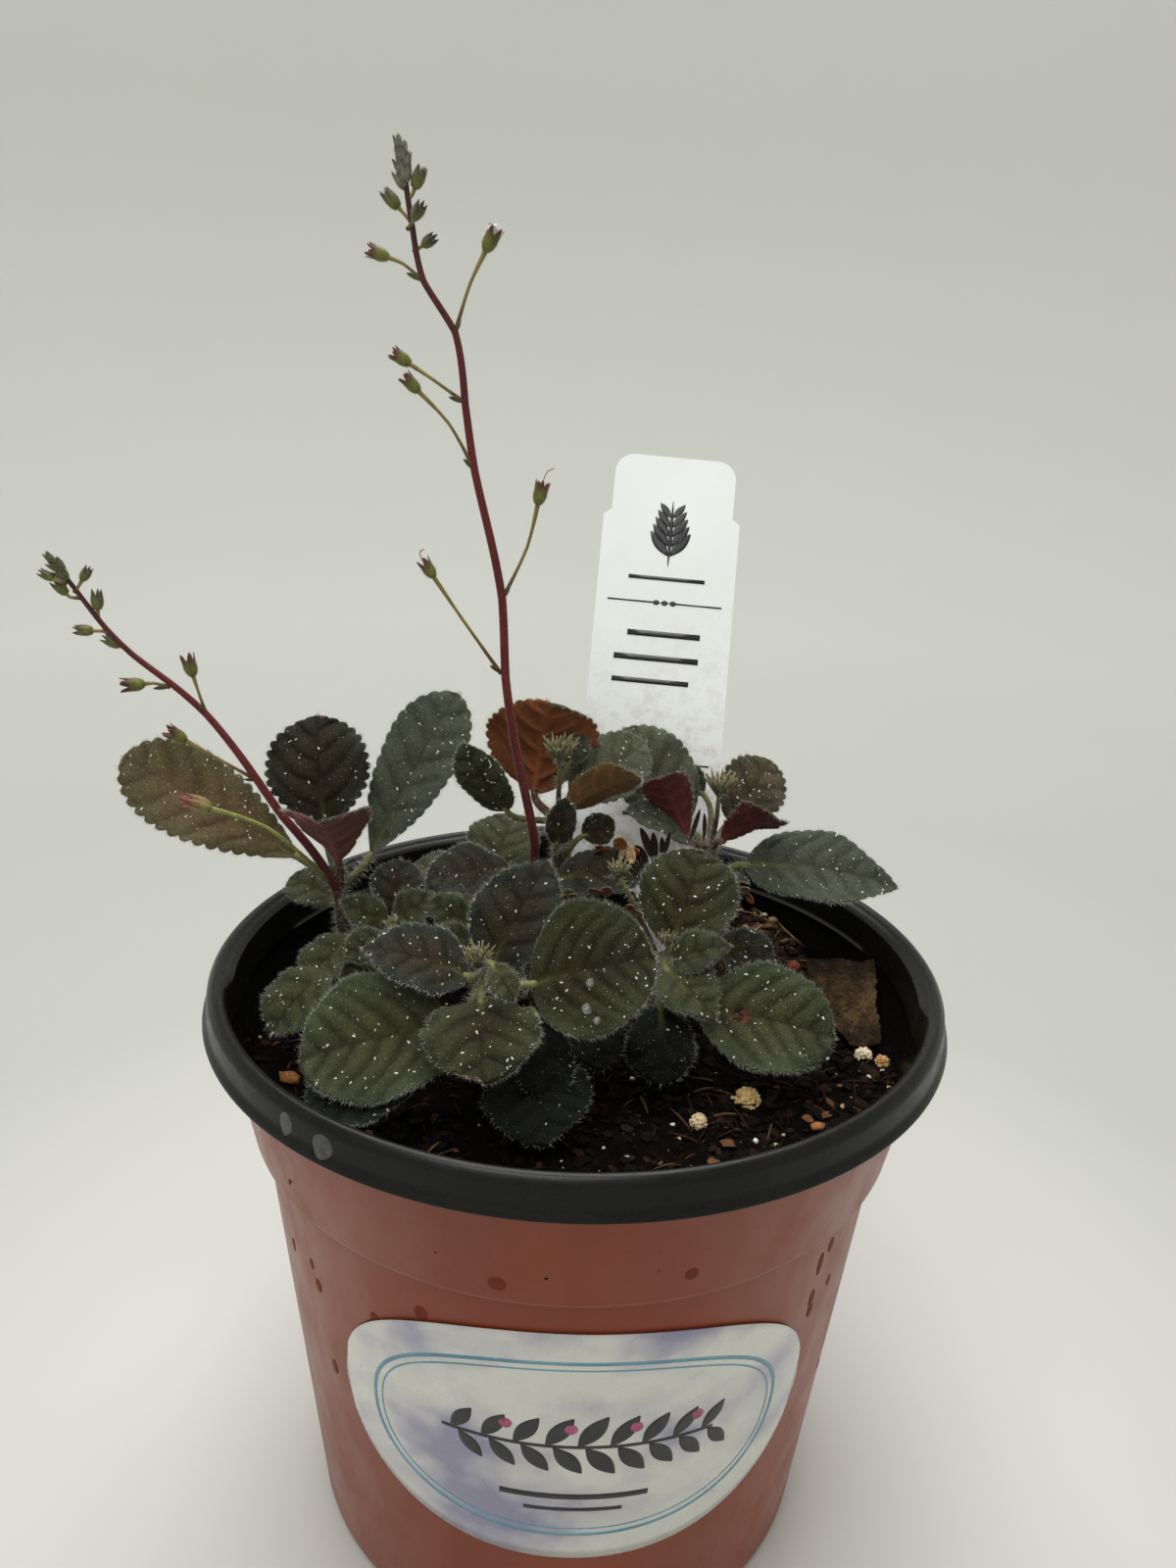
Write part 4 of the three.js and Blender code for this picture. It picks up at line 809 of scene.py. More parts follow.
def add_petal(piece, place, direction, width, tint, curl=0.3, finish=STALK):
    """A small thin petal or bract, pointed at both ends."""
    along, one, two = frame_along(direction)
    length = np.linalg.norm(direction)
    t, s = np.meshgrid(np.linspace(0.02, 0.98, 9), np.linspace(-1, 1, 7), indexing="ij")
    half = width / 2 * np.sin(np.pi * t) ** 0.7
    lift = curl * length * t * t + 0.25 * half * s * s
    grid = (np.array(place) + along * (t * length)[..., None] + one * (s * half)[..., None]
            + two * lift[..., None])
    points, faces, _, _ = sheet(grid, 0.09, 0.09)
    piece.add(points, faces, finish, tint=tint, comb=unit(points - grid.mean(axis=(0, 1))), shag=0.5)


def add_bud(piece, place, direction, size, tints):
    """A closed bud: five lobes side by side, their tips a little apart."""
    along, one, two = frame_along(direction)
    for k in range(5):
        turn = 2 * math.pi * k / 5
        out = one * math.cos(turn) + two * math.sin(turn)
        add_spindle(piece, place + 0.1 * size * out, along + 0.14 * out, size, size * 0.17, tints, 1.5, 6)


def add_flower(piece, start, middle, end, size, keeps):
    stout, shade = (1.15, YELLOW_GREEN) if keeps == "closed" else (1, PEDICEL)
    radii = [stout * r for r in (0.48, 0.34, 0.34, 0.52)]
    stalk_path = smooth_path([start, middle, end], 0.8)
    add_tube(piece, stalk_path, radii, [LOBE_RED, shade, shade], 8, 0.4 * stout ** 3)
    way = unit(np.subtract(end, middle))
    place = np.array(end) - 0.4 * way
    if size < SMALL_BUD:
        add_bud(piece, place, way, size * 1.1, [CUP_GREEN, BUD_OLIVE, PURPLE_BROWN])
        return
    if keeps == "closed":
        add_spindle(piece, place, way, size * 1.15, size * 0.2,
                    [YELLOW_GREEN, (0.26, 0.20, 0.07), (0.22, 0.05, 0.035), (0.13, 0.03, 0.025)], 3, 12)
        add_bud(piece, place, way, size * 0.92, [YELLOW_GREEN, (0.25, 0.18, 0.07), (0.22, 0.045, 0.035)])
        return
    add_calyx(piece, place, way, size)
    if keeps == "style":
        hook = [place + way * size * share + np.array(bend) for share, bend in STYLE_HOOK]
        add_tube(piece, smooth_path(hook, 0.4), [0.13, 0.1, 0.16], [LOBE_RED, DRY_STYLE], 6, 0)
    if keeps == "petal":
        for k in range(3):
            lean = way + np.array([0.3 * math.cos(2.1 * k), 0.3 * math.sin(2.1 * k), 0.1])
            add_petal(piece, place + way * size * 0.55, lean * size * 0.45, 2.8, PETAL_WHITE, 0.1)
    leaving = unit(np.subtract(middle, start)) - np.array([0, 0, 0.2])
    add_petal(piece, start, unit(leaving) * 3.4, 1.0, BUD_OLIVE)


def build_raceme(raceme):
    piece = Piece()
    path = smooth_path([point for numbers, _ in written(raceme["stem"]) for point in threes(numbers)], 1.0)
    add_tube(piece, path, raceme["radii"], [WINE_BROWN, DEEP_RED, DEEP_RED, PURPLE_BROWN], 12, 0.25)
    for numbers, words in written(raceme["flowers"]):
        add_flower(piece, *threes(numbers[:9]), numbers[9], "".join(words))
    along, one, two = frame_along(path[-1] - path[-6])
    count, size, shade = raceme["tip"]
    for k in range(count):
        turn, lean = GOLDEN_ANGLE * k, 0.55 - 0.4 * k / count
        way = unit(along + lean * (one * math.cos(turn) + two * math.sin(turn)))
        place = path[-1 - round(0.75 * (count - 1 - k))] + 0.3 * way
        add_bud(piece, place, way, size - 0.1 * k, [shade, shade, PURPLE_BROWN])
    return piece


raceme_pieces = [build_raceme(raceme) for raceme in RACEMES.values()]
for name, piece in zip(RACEMES, raceme_pieces):
    show_piece(name + "_fine", piece, plant_skins, "raceme", name)

# %% [markdown]
# What makes the plant look soft is its hair: short down on the blades, a pale fringe along
# their edges, and long hairs on stalks and stems. Particle hair would be lost in the exported
# model, so Geometry Nodes plant thin closed cones instead. The tree reads where a kind of hair
# grows and which way it lies from the values that the mesh carries.

# %% A tree that plants hairs
class Growth:
    """A Geometry Nodes tree that strews something over a mesh, with short calls for its nodes."""
    def __init__(self, name, **inputs):
        self.tree = bpy.data.node_groups.new(name, "GeometryNodeTree")
        new_socket = self.tree.interface.new_socket
        for label, kind in {"Geometry": "Geometry", "Cover": "String", "Density": "Float", **inputs,
                            "Seed": "Int", "Finish": "Material"}.items():
            new_socket(label, in_out="INPUT", socket_type="NodeSocket" + kind)
        new_socket("Geometry", in_out="OUTPUT", socket_type="NodeSocketGeometry")
        self.given = self.tree.nodes.new("NodeGroupInput").outputs

    def out(self, kind, inputs=(), output=0, **settings):
        return add_node(self.tree, kind, inputs, **settings).outputs[output]

    def maths(self, operation, a, b):
        return self.out("ShaderNodeMath", {0: a, 1: b}, operation=operation)

    def stored(self, name, kind="FLOAT"):
        return self.out("GeometryNodeInputNamedAttribute", {"Name": name}, data_type=kind)

    def chance(self, low, high, seed):
        return self.out("FunctionNodeRandomValue", {2: low, 3: high, "Seed": seed}, 1, data_type="FLOAT")

    def chance_vector(self, low, high, seed):
        return self.out("FunctionNodeRandomValue", {0: low, 1: high, "Seed": seed}, data_type="FLOAT_VECTOR")

    def spots(self):
        """Points where the value named by Cover says, as densely as it and Density give."""
        density = self.maths("MULTIPLY", self.stored(self.given["Cover"]), self.given["Density"])
        return add_node(self.tree, "GeometryNodeDistributePointsOnFaces", {
            "Mesh": self.given["Geometry"], "Density": density, "Seed": self.given["Seed"]}).outputs

    def laid(self, spots, grain, turn, scale):
        return self.out("GeometryNodeInstanceOnPoints", {
            "Points": spots["Points"], "Instance": grain, "Rotation": turn, "Scale": scale})

    def done(self, laid):
        real = self.out("GeometryNodeRealizeInstances", {"Geometry": laid})
        real = self.out("GeometryNodeSetMaterial", {"Geometry": real, "Material": self.given["Finish"]})
        self.tree.links.new(real, self.tree.nodes.new("NodeGroupOutput").inputs[0])
        return self.tree


def hair_tree():
    tree = Growth("plant_hairs", Length="Float", Thickness="Float", Spread="Float")
    stray = tree.out("ShaderNodeVectorMath", {
        0: tree.chance_vector((-1, -1, -1), (1, 1, 1), 0), "Scale": tree.given["Spread"]}, operation="SCALE")
    comb = tree.stored("comb", "FLOAT_VECTOR")
    lean = tree.out("ShaderNodeVectorMath", {0: comb, 1: stray}, operation="ADD")
    turn = tree.out("FunctionNodeAlignRotationToVector", {"Vector": lean}, axis="Z")
    thick = tree.given["Thickness"]
    tall = tree.maths("MULTIPLY", tree.given["Length"], tree.chance(0.45, 1.15, 5))
    cone = tree.out("GeometryNodeMeshCone", {
        "Vertices": 3, "Radius Top": 0.0, "Radius Bottom": 1.0, "Depth": 1.0}, "Mesh", fill_type="NGON")
    size = tree.out("ShaderNodeCombineXYZ", {0: thick, 1: thick, 2: tall})
    return tree.done(tree.laid(tree.spots(), cone, turn, size))


def grow(name, ground, tree, slot, **settings):
    """Runs a tree on a mesh, and keeps what it makes as a plain mesh of its own."""
    carrier = put(name + "_ground", ground)
    modifier = carrier.modifiers.new("grow", "NODES")
    modifier.node_group = tree
    sockets = {s.name: s.identifier for s in tree.interface.items_tree if s.in_out == "INPUT"}
    for label, value in settings.items():
        modifier[sockets[label]] = value
    made = carrier.evaluated_get(bpy.context.evaluated_depsgraph_get())
    data = bpy.data.meshes.new_from_object(made)
    carrier.modifiers.remove(modifier)
    bpy.data.objects.remove(carrier)
    data.name = name
    show(name, data, slot)


def gathered(pieces):
    """One mesh of several pieces, as the ground that hairs grow on."""
    whole = Piece()
    for part in pieces:
        whole.faces += [(block + whole.count, finish) for block, finish in part.faces]
        whole.points += part.points
        whole.values += part.values
        whole.count += part.count
    return whole.mesh("hair_ground", [])


hairs = hair_tree()
print("hair tree has", len(hairs.nodes), "nodes")

# %% [markdown]
# Four kinds of hair follow, each with its own density, length and stray. A hair has four faces
# and the counts are chosen so that each kind stays a light mesh. The hair's finish is nearly
# white, which is what glows along the edges against the dark blades.

# %% Plant the hairs
PER_SQUARE_MM = 1e6
hair_white = two_tone("pale_hair", 9, 2, (0.24, 0.25, 0.19), (0.50, 0.50, 0.42),
                      Roughness=0.45, Sheen_Weight=0.2)
long_white = two_tone("long_hair", 9, 2, (0.36, 0.37, 0.30), (0.64, 0.64, 0.56),
                      Roughness=0.4, Sheen_Weight=0.2)
down_grey = two_tone("leaf_down", 7, 2, (0.20, 0.22, 0.17), (0.42, 0.44, 0.36), Roughness=0.5)
all_shoots, all_racemes = gathered(shoot_pieces), gathered(raceme_pieces)


def plant(name, ground, slot, cover, per_square_mm, length, thickness, spread, seed, finish):
    grow(name, ground, hairs, slot, Cover=cover, Density=per_square_mm * PER_SQUARE_MM,
         Length=length * MM, Thickness=thickness * MM, Spread=spread, Seed=seed, Finish=finish)


plant("leaf_down", all_shoots, "leaf", "velvet", 1.6, 0.55, 0.026, 0.6, 3, down_grey)
plant("leaf_fringe", all_shoots, "leaf", "fringe", 13.0, 1.2, 0.028, 0.35, 4, hair_white)
plant("stalk_hairs", all_shoots, "leaf", "shag", 2.0, 2.0, 0.038, 0.4, 5, long_white)
plant("raceme_hairs", all_racemes, "raceme", "shag", 4.0, 0.55, 0.022, 0.5, 6, hair_white)

# %% [markdown]
# White specks lie all over the blades' upper faces. A second tree scatters small solid grains
# of a given shape, and the same tree later strews the crumbs, fibres and grit of the potting
# mix, each with a random tone that the finish reads.

# %% A tree that scatters grains
def grain_tree():
    tree = Growth("scatter_grains", Grain="Object", Smallest="Float", Largest="Float", Lift="Float")
    spots = tree.spots()
    spin = tree.chance_vector((-0.35, -0.35, 0), (0.35, 0.35, 6.28), 2)
    turn = tree.out("FunctionNodeRotateRotation", {0: spots["Rotation"], 1: spin}, rotation_space="LOCAL")
    few_large = tree.maths("POWER", tree.chance(0.0, 1.0, 8), 2.2)
    scale = tree.out("ShaderNodeMapRange", {
        "Value": few_large, "To Min": tree.given["Smallest"], "To Max": tree.given["Largest"]})
    grain = tree.out("GeometryNodeObjectInfo", {"Object": tree.given["Grain"]}, "Geometry")
    lift = tree.out("ShaderNodeCombineXYZ", {2: tree.maths("MULTIPLY", scale, tree.given["Lift"])})
    raised = tree.out("GeometryNodeTranslateInstances", {
        "Instances": tree.laid(spots, grain, turn, scale), "Translation": lift, "Local Space": True})
    return tree.done(tree.out("GeometryNodeStoreNamedAttribute", {
        "Geometry": raised, "Name": "tone", "Value": tree.chance(0.0, 1.0, 11)},
        data_type="FLOAT", domain="INSTANCE"))


def formed(name, form):
    """An object, not in the scene, with the shape of a bmesh form, which is then let go."""
    data = bpy.data.meshes.new(name)
    form.to_mesh(data)
    form.free()
    return bpy.data.objects.new(name, data)


def rough_grain(name, stretch, seed, rough=0.25):
    """A small stone of unit radius, with its corners moved at random."""
    form = bmesh.new()
    bmesh.ops.create_icosphere(form, subdivisions=1, radius=1)
    chance = random.Random(seed)
    for corner in form.verts:
        corner.co *= 1 + chance.uniform(-rough, rough)
        corner.co = Vector(c * k for c, k in zip(corner.co, stretch))
    return formed(name, form)


grains = grain_tree()
speck_white = two_tone(
    "white_speck", 5, 2, (0.55, 0.55, 0.50), (0.86, 0.86, 0.82), (0.3, 0.6), Roughness=0.7)


def strew(name, ground, slot, grain, finish, per_square_mm, smallest, largest, lift, seed):
    grow(name, ground, grains, slot, Cover="dust", Grain=grain, Finish=finish, Lift=lift, Seed=seed,
         Density=per_square_mm * PER_SQUARE_MM, Smallest=smallest * MM, Largest=largest * MM)


speck = rough_grain("speck", (1.1, 0.55, 0.4), 1)
strew("leaf_specks", all_shoots, "leaf", speck, speck_white, 0.105, 0.09, 0.42, 0.6, 9)

# %% [markdown]
# A few water drops still lie on the broad leaf in front. Each is a squashed sphere of clear
# water, half sunk in the leaf's down.

# %% Dew
DEW = [(2.6, -32.6, 146.9, 0.9), (2.2, -36.1, 143.2, 1.1), (4.2, -38.2, 141.9, 0.8)]
LEAF_SLOPE = unit([0, -1, 1])


def ball(subdivisions):
    """The points and triangles of a sphere of unit radius."""
    form = bmesh.new()
    bmesh.ops.create_icosphere(form, subdivisions=subdivisions, radius=1)
    points = np.array([v.co[:] for v in form.verts])
    faces = np.array([[v.index for v in f.verts] for f in form.faces])
    form.free()
    return points, faces


clear_water = two_tone("clear_water", 3, 1, (0.80, 0.84, 0.80), (0.92, 0.94, 0.92),
                       Roughness=0.03, IOR=1.33, Transmission_Weight=0.9)
round_drop, drop_faces = ball(3)
squashed = round_drop - 0.7 * (round_drop @ LEAF_SLOPE)[:, None] * LEAF_SLOPE
dew = Piece()
for *place, radius in DEW:
    dew.add(squashed * radius * (1, 1.1, 1) + place, drop_faces)
show_piece("dew", dew, [clear_water], "leaf")

# %% [markdown]
# The pot is thermoformed from a two-layer sheet: terracotta outside, black inside and over the
# lip. It is one turned profile, so a ring of points is spun round the axis, with its corners
# softened. Behind the side notches the lip's inner edge is pressed in, where nested pots are
# kept apart. The drain holes are cut with a Boolean modifier.

# %% The pot's profile
POT_HEIGHT = 137
LIP_RADIUS = 81
LIP_INNER_RADIUS = 76
LIP_DROP = 7.5
COLLAR_TOP_RADIUS = 76.5
COLLAR_FOOT_RADIUS = 71.8
STEP_HEIGHT = 104
WALL_TOP_RADIUS = 69.5
BASE_RADIUS = 59.5
WALL = 1.2
LUG_DEPTH = 1.5
LUG_FLOOR = 128
LUG_START = 76
LEDGE_START = 108
POT_COLUMNS = 180
EARTH, BLACK, CUT_EDGE, INSIDE = 0, 1, 2, 3

outside = [
    (0, 0), (BASE_RADIUS - 1.5, 0), (BASE_RADIUS, 2.5), (WALL_TOP_RADIUS, STEP_HEIGHT - 1.5),
    (COLLAR_FOOT_RADIUS, STEP_HEIGHT), (COLLAR_TOP_RADIUS, POT_HEIGHT - LIP_DROP),
]
lip_edge = [(LIP_RADIUS - inset, POT_HEIGHT - LIP_DROP + rise) for inset, rise in (
    (0.5, -0.4), (0, 0), (0.3, 0.8), (1.1, 1.8))]
lip_edge += [
    (LIP_RADIUS - 1.3, POT_HEIGHT - 1.4), (LIP_RADIUS - 2.4, POT_HEIGHT - 0.2),
    (LIP_INNER_RADIUS + 1.6, POT_HEIGHT), (LIP_INNER_RADIUS, POT_HEIGHT - 1.2),
]
inside = [
    (LIP_INNER_RADIUS - 0.7, LUG_FLOOR + 0.6), (LIP_INNER_RADIUS - 0.8, LUG_FLOOR - 0.6),
    (COLLAR_FOOT_RADIUS - WALL, STEP_HEIGHT + 1), (WALL_TOP_RADIUS - WALL, STEP_HEIGHT - 0.6),
    (BASE_RADIUS - WALL, 3), (BASE_RADIUS - 2.2, WALL), (0, WALL),
]


def softened(points, radius, steps=3):
    """The polyline with each corner cut back by at most radius and rounded."""
    points = np.array(points, float)
    out = [points[0]]
    for a, b, c in zip(points, points[1:], points[2:]):
        reach = min(radius, 0.42 * np.linalg.norm(a - b), 0.42 * np.linalg.norm(c - b))
        p, q = b + unit(a - b) * reach, b + unit(c - b) * reach
        out += [(1 - u) ** 2 * p + 2 * u * (1 - u) * b + u * u * q for u in np.linspace(0, 1, steps + 1)]
    return np.array([*out, points[-1]])


def spun(profile, columns):
    """Points of a profile turned round the axis, with the faces between them, poles closed."""
    turns = np.arange(columns) * 2 * np.pi / columns
    r, z = profile[1:-1, :1], profile[1:-1, 1:]
    ring = np.stack([r * np.sin(turns), -r * np.cos(turns), z + 0 * turns], axis=-1)
    poles = [[0, 0, profile[0, 1]], [0, 0, profile[-1, 1]]]
    return (np.concatenate([ring.reshape(-1, 3), poles]), *ring_faces(len(r), columns))


profile = softened([*outside, *lip_edge, *inside], 0.9)
points, walls, caps = spun(profile, POT_COLUMNS)
radius = np.hypot(points[:, 0], points[:, 1])
from_front = np.abs(np.degrees(np.arctan2(points[:, 0], -points[:, 1])))
inner_wall = (radius < LIP_INNER_RADIUS + 0.1) & (points[:, 2] > LUG_FLOOR - 0.3)
pressed = LUG_DEPTH * np.clip((from_front - LUG_START + 1) / 2, 0, 1) * inner_wall
points[:, :2] *= (1 - pressed / np.maximum(radius, 1))[:, None]
# Behind LEDGE_START degrees the ledge inside gets a painted highlight.
ledge_highlight_side = np.clip((from_front - LEDGE_START) / 2, 0, 1)
print("pot profile of", len(profile), "points, pressed in behind", LUG_START, "degrees")

# %% [markdown]
# The terracotta plastic is satin, a little streaky from the stretching of the sheet, and dirty
# in places, with a pale line painted at the step of the collar as the highlight on its edge.
# The black layer is smoother, with soil dust clinging to it just above the mix, and a grey line
# painted on the ledge inside as a highlight. The cut edge of the outer layer shows as a bright
# line under the lip.

# %% Pot finishes
earth = Finish("terracotta_plastic", Roughness=0.4, Specular_IOR_Level=0.32)
tone = earth.drift(38, 4, (0.205, 0.040, 0.015), (0.265, 0.055, 0.021), (0.3, 0.72), stretch=(1, 1, 0.35))
# Painted highlight: a pale line along the step at the collar's foot.
step_highlight = earth.times(earth.band(STEP_HEIGHT - 0.2, 0.7), 0.55)
tone = earth.mix(step_highlight, tone, (0.55, 0.24, 0.15))
fleck = earth.drift(1.6, 4, 1.0, 0.72, (0.6, 0.78))
terracotta = earth.use(
    Base_Color=earth.tinted(tone, fleck),
    Roughness=earth.drift(9, 5, 0.30, 0.46, (0.35, 0.7), stretch=(1, 1, 0.6)),
    Normal=earth.bump(earth.noise(0.9, 3), 0.05, 0.5, Normal=earth.bump(earth.noise(14, 2), 0.25, 0.35)))


def black_layer(name, gloss):
    black = Finish(name, Roughness=0.3, Specular_IOR_Level=gloss)
    clean = black.drift(22, 4, (0.004, 0.0038, 0.0036), (0.008, 0.0076, 0.0072))
    patchy = black.drift(1.4, 5, 0.0, 1.0, (0.5, 0.66))
    soiled = black.times(black.below(SOIL_HEIGHT - 1, 7), patchy)
    # Painted highlight: a grey line along the ledge inside, at the back of the pot.
    ledge_highlight = black.times(black.band(LUG_FLOOR, 1.2), black.value("shade"))
    return black.use(
        Base_Color=black.mix(ledge_highlight, black.mix(soiled, clean, (0.022, 0.013, 0.008)), (0.16, 0.16, 0.155)),
        Roughness=black.drift(5, 5, 0.24, 0.38, (0.35, 0.7), stretch=(1, 1, 3)),
        Normal=black.bump(black.noise(1.1, 3), 0.06, 0.5))


cut_edge = two_tone("cut_edge", 4, 3, (0.36, 0.10, 0.05), (0.5, 0.16, 0.08), Roughness=0.45)
pot_layers = [terracotta, black_layer("black_plastic", 0.24), cut_edge, black_layer("black_inside", 0.10)]
print("pot finishes:", [layer.name for layer in pot_layers])

# %% Build the pot
DRAIN_HOLES = 6
DRAIN_RADIUS = 4
DRAIN_CIRCLE = 42
DRILL_LENGTH = 6

heights = profile[1:-1]
row = np.arange(len(heights) - 1)
changes = int(np.argmax(heights[:, 0] > LIP_RADIUS - 1.2))
below_lip = (heights[:-1, 1] < POT_HEIGHT - 2) & (row > np.argmax(heights[:, 1]))
row_finish = np.select(
    [row == changes - 1, row < changes, below_lip], [CUT_EDGE, EARTH, INSIDE], BLACK)
pot = Piece()
pot.add(points, walls, np.repeat(row_finish, POT_COLUMNS), shade=ledge_highlight_side)
pot.faces += [(caps[:POT_COLUMNS], EARTH), (caps[POT_COLUMNS:], INSIDE)]
pot_object = put("pot_fine", pot.mesh("pot_fine", pot_layers))

drills = bmesh.new()
for k in range(DRAIN_HOLES):
    turn = 2 * math.pi * (k + 0.5) / DRAIN_HOLES
    place = Vector((DRAIN_CIRCLE * math.cos(turn), DRAIN_CIRCLE * math.sin(turn), WALL / 2)) * MM
    bmesh.ops.create_cone(
        drills, cap_ends=True, segments=28, radius1=DRAIN_RADIUS * MM, radius2=DRAIN_RADIUS * MM,
        depth=DRILL_LENGTH * MM, matrix=Matrix.Translation(place))
drill = formed("drills", drills)
bpy.context.scene.collection.objects.link(drill)
cut = pot_object.modifiers.new("drain holes", "BOOLEAN")
cut.object = drill
cut.solver = "EXACT"
graph = bpy.context.evaluated_depsgraph_get()
cut_data = bpy.data.meshes.new_from_object(pot_object.evaluated_get(graph))
form = bmesh.new()
form.from_mesh(cut_data)
bmesh.ops.triangulate(form, faces=[f for f in form.faces if len(f.verts) > 4])
bmesh.ops.dissolve_degenerate(form, edges=form.edges, dist=0.001 * MM)
form.to_mesh(cut_data)
form.free()
bpy.data.objects.remove(pot_object)
bpy.data.objects.remove(drill)
show("pot_fine", cut_data, "pot_plastic", "pot")

# %% [markdown]
# Water has dried on the pot in small elongated drops, darker than the wall, most of them down
# its right side, and in two clear patches on the lip. Each is a very flat dome that follows the
# wall: its row is its angle from the front, its height, and how tall and wide it is.

# %% Drops on the wall
DROP_TABLE = """
-47.6 82.6 1.7 1.2; -32.3 86.2 1.5 1.2; -46.1 61.7 2 1.1; 47.8 93.4 3 1; 47.7 84.4 2.4 1
48.1 80.8 1.8 1.1; 53.4 84.6 1.5 0.8; 50.3 96.5 1.9 1; 45.8 73.8 2 0.9; 46.4 63.6 2.2 0.9
-57.1 85.1 1.8 0.7; -49 87.1 1.4 0.8; -9.4 108.5 1.7 1.7; 17.8 110.4 1.5 1.3; -22.7 93.5 1.7 1.5
"""
PATCH_TABLE = "-38.8 133.0 2.2 1.7; -32.1 132.6 2.2 2.4"
DROP_SIDES = 18
DROP_BACK = -0.15
drop_rows = [numbers for numbers, _ in written(DROP_TABLE)]
chance = random.Random(12)
for _ in range(12):
    angle, height = chance.uniform(62, 290), chance.uniform(20, 100)
    drop_rows.append((angle, height, chance.uniform(1.2, 2.4), chance.uniform(0.7, 1.0)))


def wall_radius(z):
    """Radius of the pot's outside at a height, along the softened profile up to the lip's top."""
    rising = profile[: int(np.argmax(profile[:, 1])) + 1]
    order = np.argsort(rising[:, 1], kind="stable")
    return np.interp(z, rising[order, 1], rising[order, 0])


def wall_point(angle, z, proud):
    turn = np.radians(angle)
    r = wall_radius(z) + proud
    return np.stack([r * np.sin(turn), -r * np.cos(turn), z + 0 * turn], axis=-1)


def add_drop(piece, angle, z, tall, wide, thick):
    turns, share = np.meshgrid(
        np.arange(DROP_SIDES) * 2 * np.pi / DROP_SIDES, [0.35, 0.7, 0.92, 1.0], indexing="ij")
    spread = np.degrees(wide / wall_radius(z))
    dome = wall_point(
        angle + spread * share * np.cos(turns), z + tall * share * np.sin(turns),
        thick * np.sqrt(np.maximum(0, 1 - share ** 2)) + 0.02).reshape(-1, 3)
    rim = turns[:, -1]
    back = wall_point(angle + spread * np.cos(rim), z + tall * np.sin(rim), DROP_BACK)
    middle = [wall_point(np.array(angle), np.array(z), depth) for depth in (thick + 0.02, DROP_BACK)]
    n, m = turns.shape
    faces, caps = [], []
    for i in range(n):
        j = (i + 1) % n
        caps += [[n * m + n, i * m, j * m], [n * m + n + 1, n * m + j, n * m + i]]
        faces += [[i * m + k, i * m + k + 1, j * m + k + 1, j * m + k] for k in range(m - 1)]
        faces.append([i * m + m - 1, n * m + i, n * m + j, j * m + m - 1])
    piece.add(np.concatenate([dome, back, middle]), (faces, caps))


drop_brown = two_tone("dried_drop", 1.2, 3, (0.135, 0.026, 0.011), (0.18, 0.036, 0.015),
                      Roughness=0.55, Specular_IOR_Level=0.12)
film_grey = two_tone("dried_film", 1.5, 3, (0.035, 0.034, 0.032), (0.09, 0.088, 0.082), (0.35, 0.7),
                     Roughness=0.3)
drops, patches = Piece(), Piece()
for row in drop_rows:
    add_drop(drops, *row, 0.12)
for row, _ in written(PATCH_TABLE):
    add_drop(patches, *row, 0.1)
show_piece("wall_drops", drops, [drop_brown], "pot_plastic")
show_piece("dried_patches", patches, [film_grey], "pot_plastic")

# %% [markdown]
# The sticker is an oval of silvery film. Its colour is lilac grey, its own tone, and grows paler
# towards its right side as a painted reflection. Its print is generic: a blue border and a sprig
# of dark leaves with pink berries over two bars. Each printed shape is a thin patch of its own,
# laid on the film with the same formula that lays the film on the wall.

# %% Printed shapes
def add_patch(piece, place, rows, columns, outline, proud, thick, finish=0):
    """A thin printed shape: outline maps the unit square to millimetres on the film."""
    a, b = np.meshgrid(np.linspace(0, 1, rows + 1), np.linspace(0, 1, columns + 1), indexing="ij")
    x, y = outline(a, b)
    grid = place(x, y, proud)
    middle = np.array(0.0)
    outward = place(middle, middle, 1.0) - place(middle, middle, 0.0)
    if grid_normals(grid)[rows // 2, columns // 2] @ outward < 0:
        grid = grid[:, ::-1]
    points, faces, _, _ = sheet(grid, thick, thick)
    piece.add(points, faces, finish)


def oval(half_width, half_height, blunt=2.3, x=0, y=0):
    """The unit square as a filled oval, blunter than an ellipse."""
    def outline(a, b):
        u = 2 * a - 1
        rim = (1 - np.abs(u) ** blunt * 0.9995) ** (1 / blunt)
        return x + half_width * u, y + half_height * rim * (2 * b - 1)
    return outline


def border(half_width, half_height, wide, blunt=2.3):
    def outline(a, b):
        c, s = np.cos(2 * np.pi * a), np.sin(2 * np.pi * a)
        size = (np.abs(c) ** blunt + np.abs(s) ** blunt) ** (-1 / blunt)
        return size * c * (half_width - wide * b), size * s * (half_height - wide * b)
    return outline


def bar(x, y, length, tall):
    return lambda a, b: (x + length * a, y + tall * b)


def leaflet(x, y, length, wide, angle):
    c, s = math.cos(math.radians(angle)), math.sin(math.radians(angle))

    def outline(a, b):
        u = length * a
        w = wide * (b - 0.5) * np.sin(np.pi * np.clip(a, 0.02, 0.98)) ** 0.8
        return x + c * u - s * w, y + s * u + c * w
    return outline


print("printed shapes ready")

# %% Sticker
STICKER_HALF_WIDTH = 51
STICKER_HALF_HEIGHT = 31.5
STICKER_HEIGHT = 64
STICKER_TURN = 3.5
STICKER_TILT = math.radians(-2)
STICKER_PROUD = 0.42
PRINT_PROUD = STICKER_PROUD + 0.14
STICKER_RADIUS = BASE_RADIUS + (WALL_TOP_RADIUS - BASE_RADIUS) * STICKER_HEIGHT / STEP_HEIGHT
BLUE, DARK, PINK = 0, 1, 2


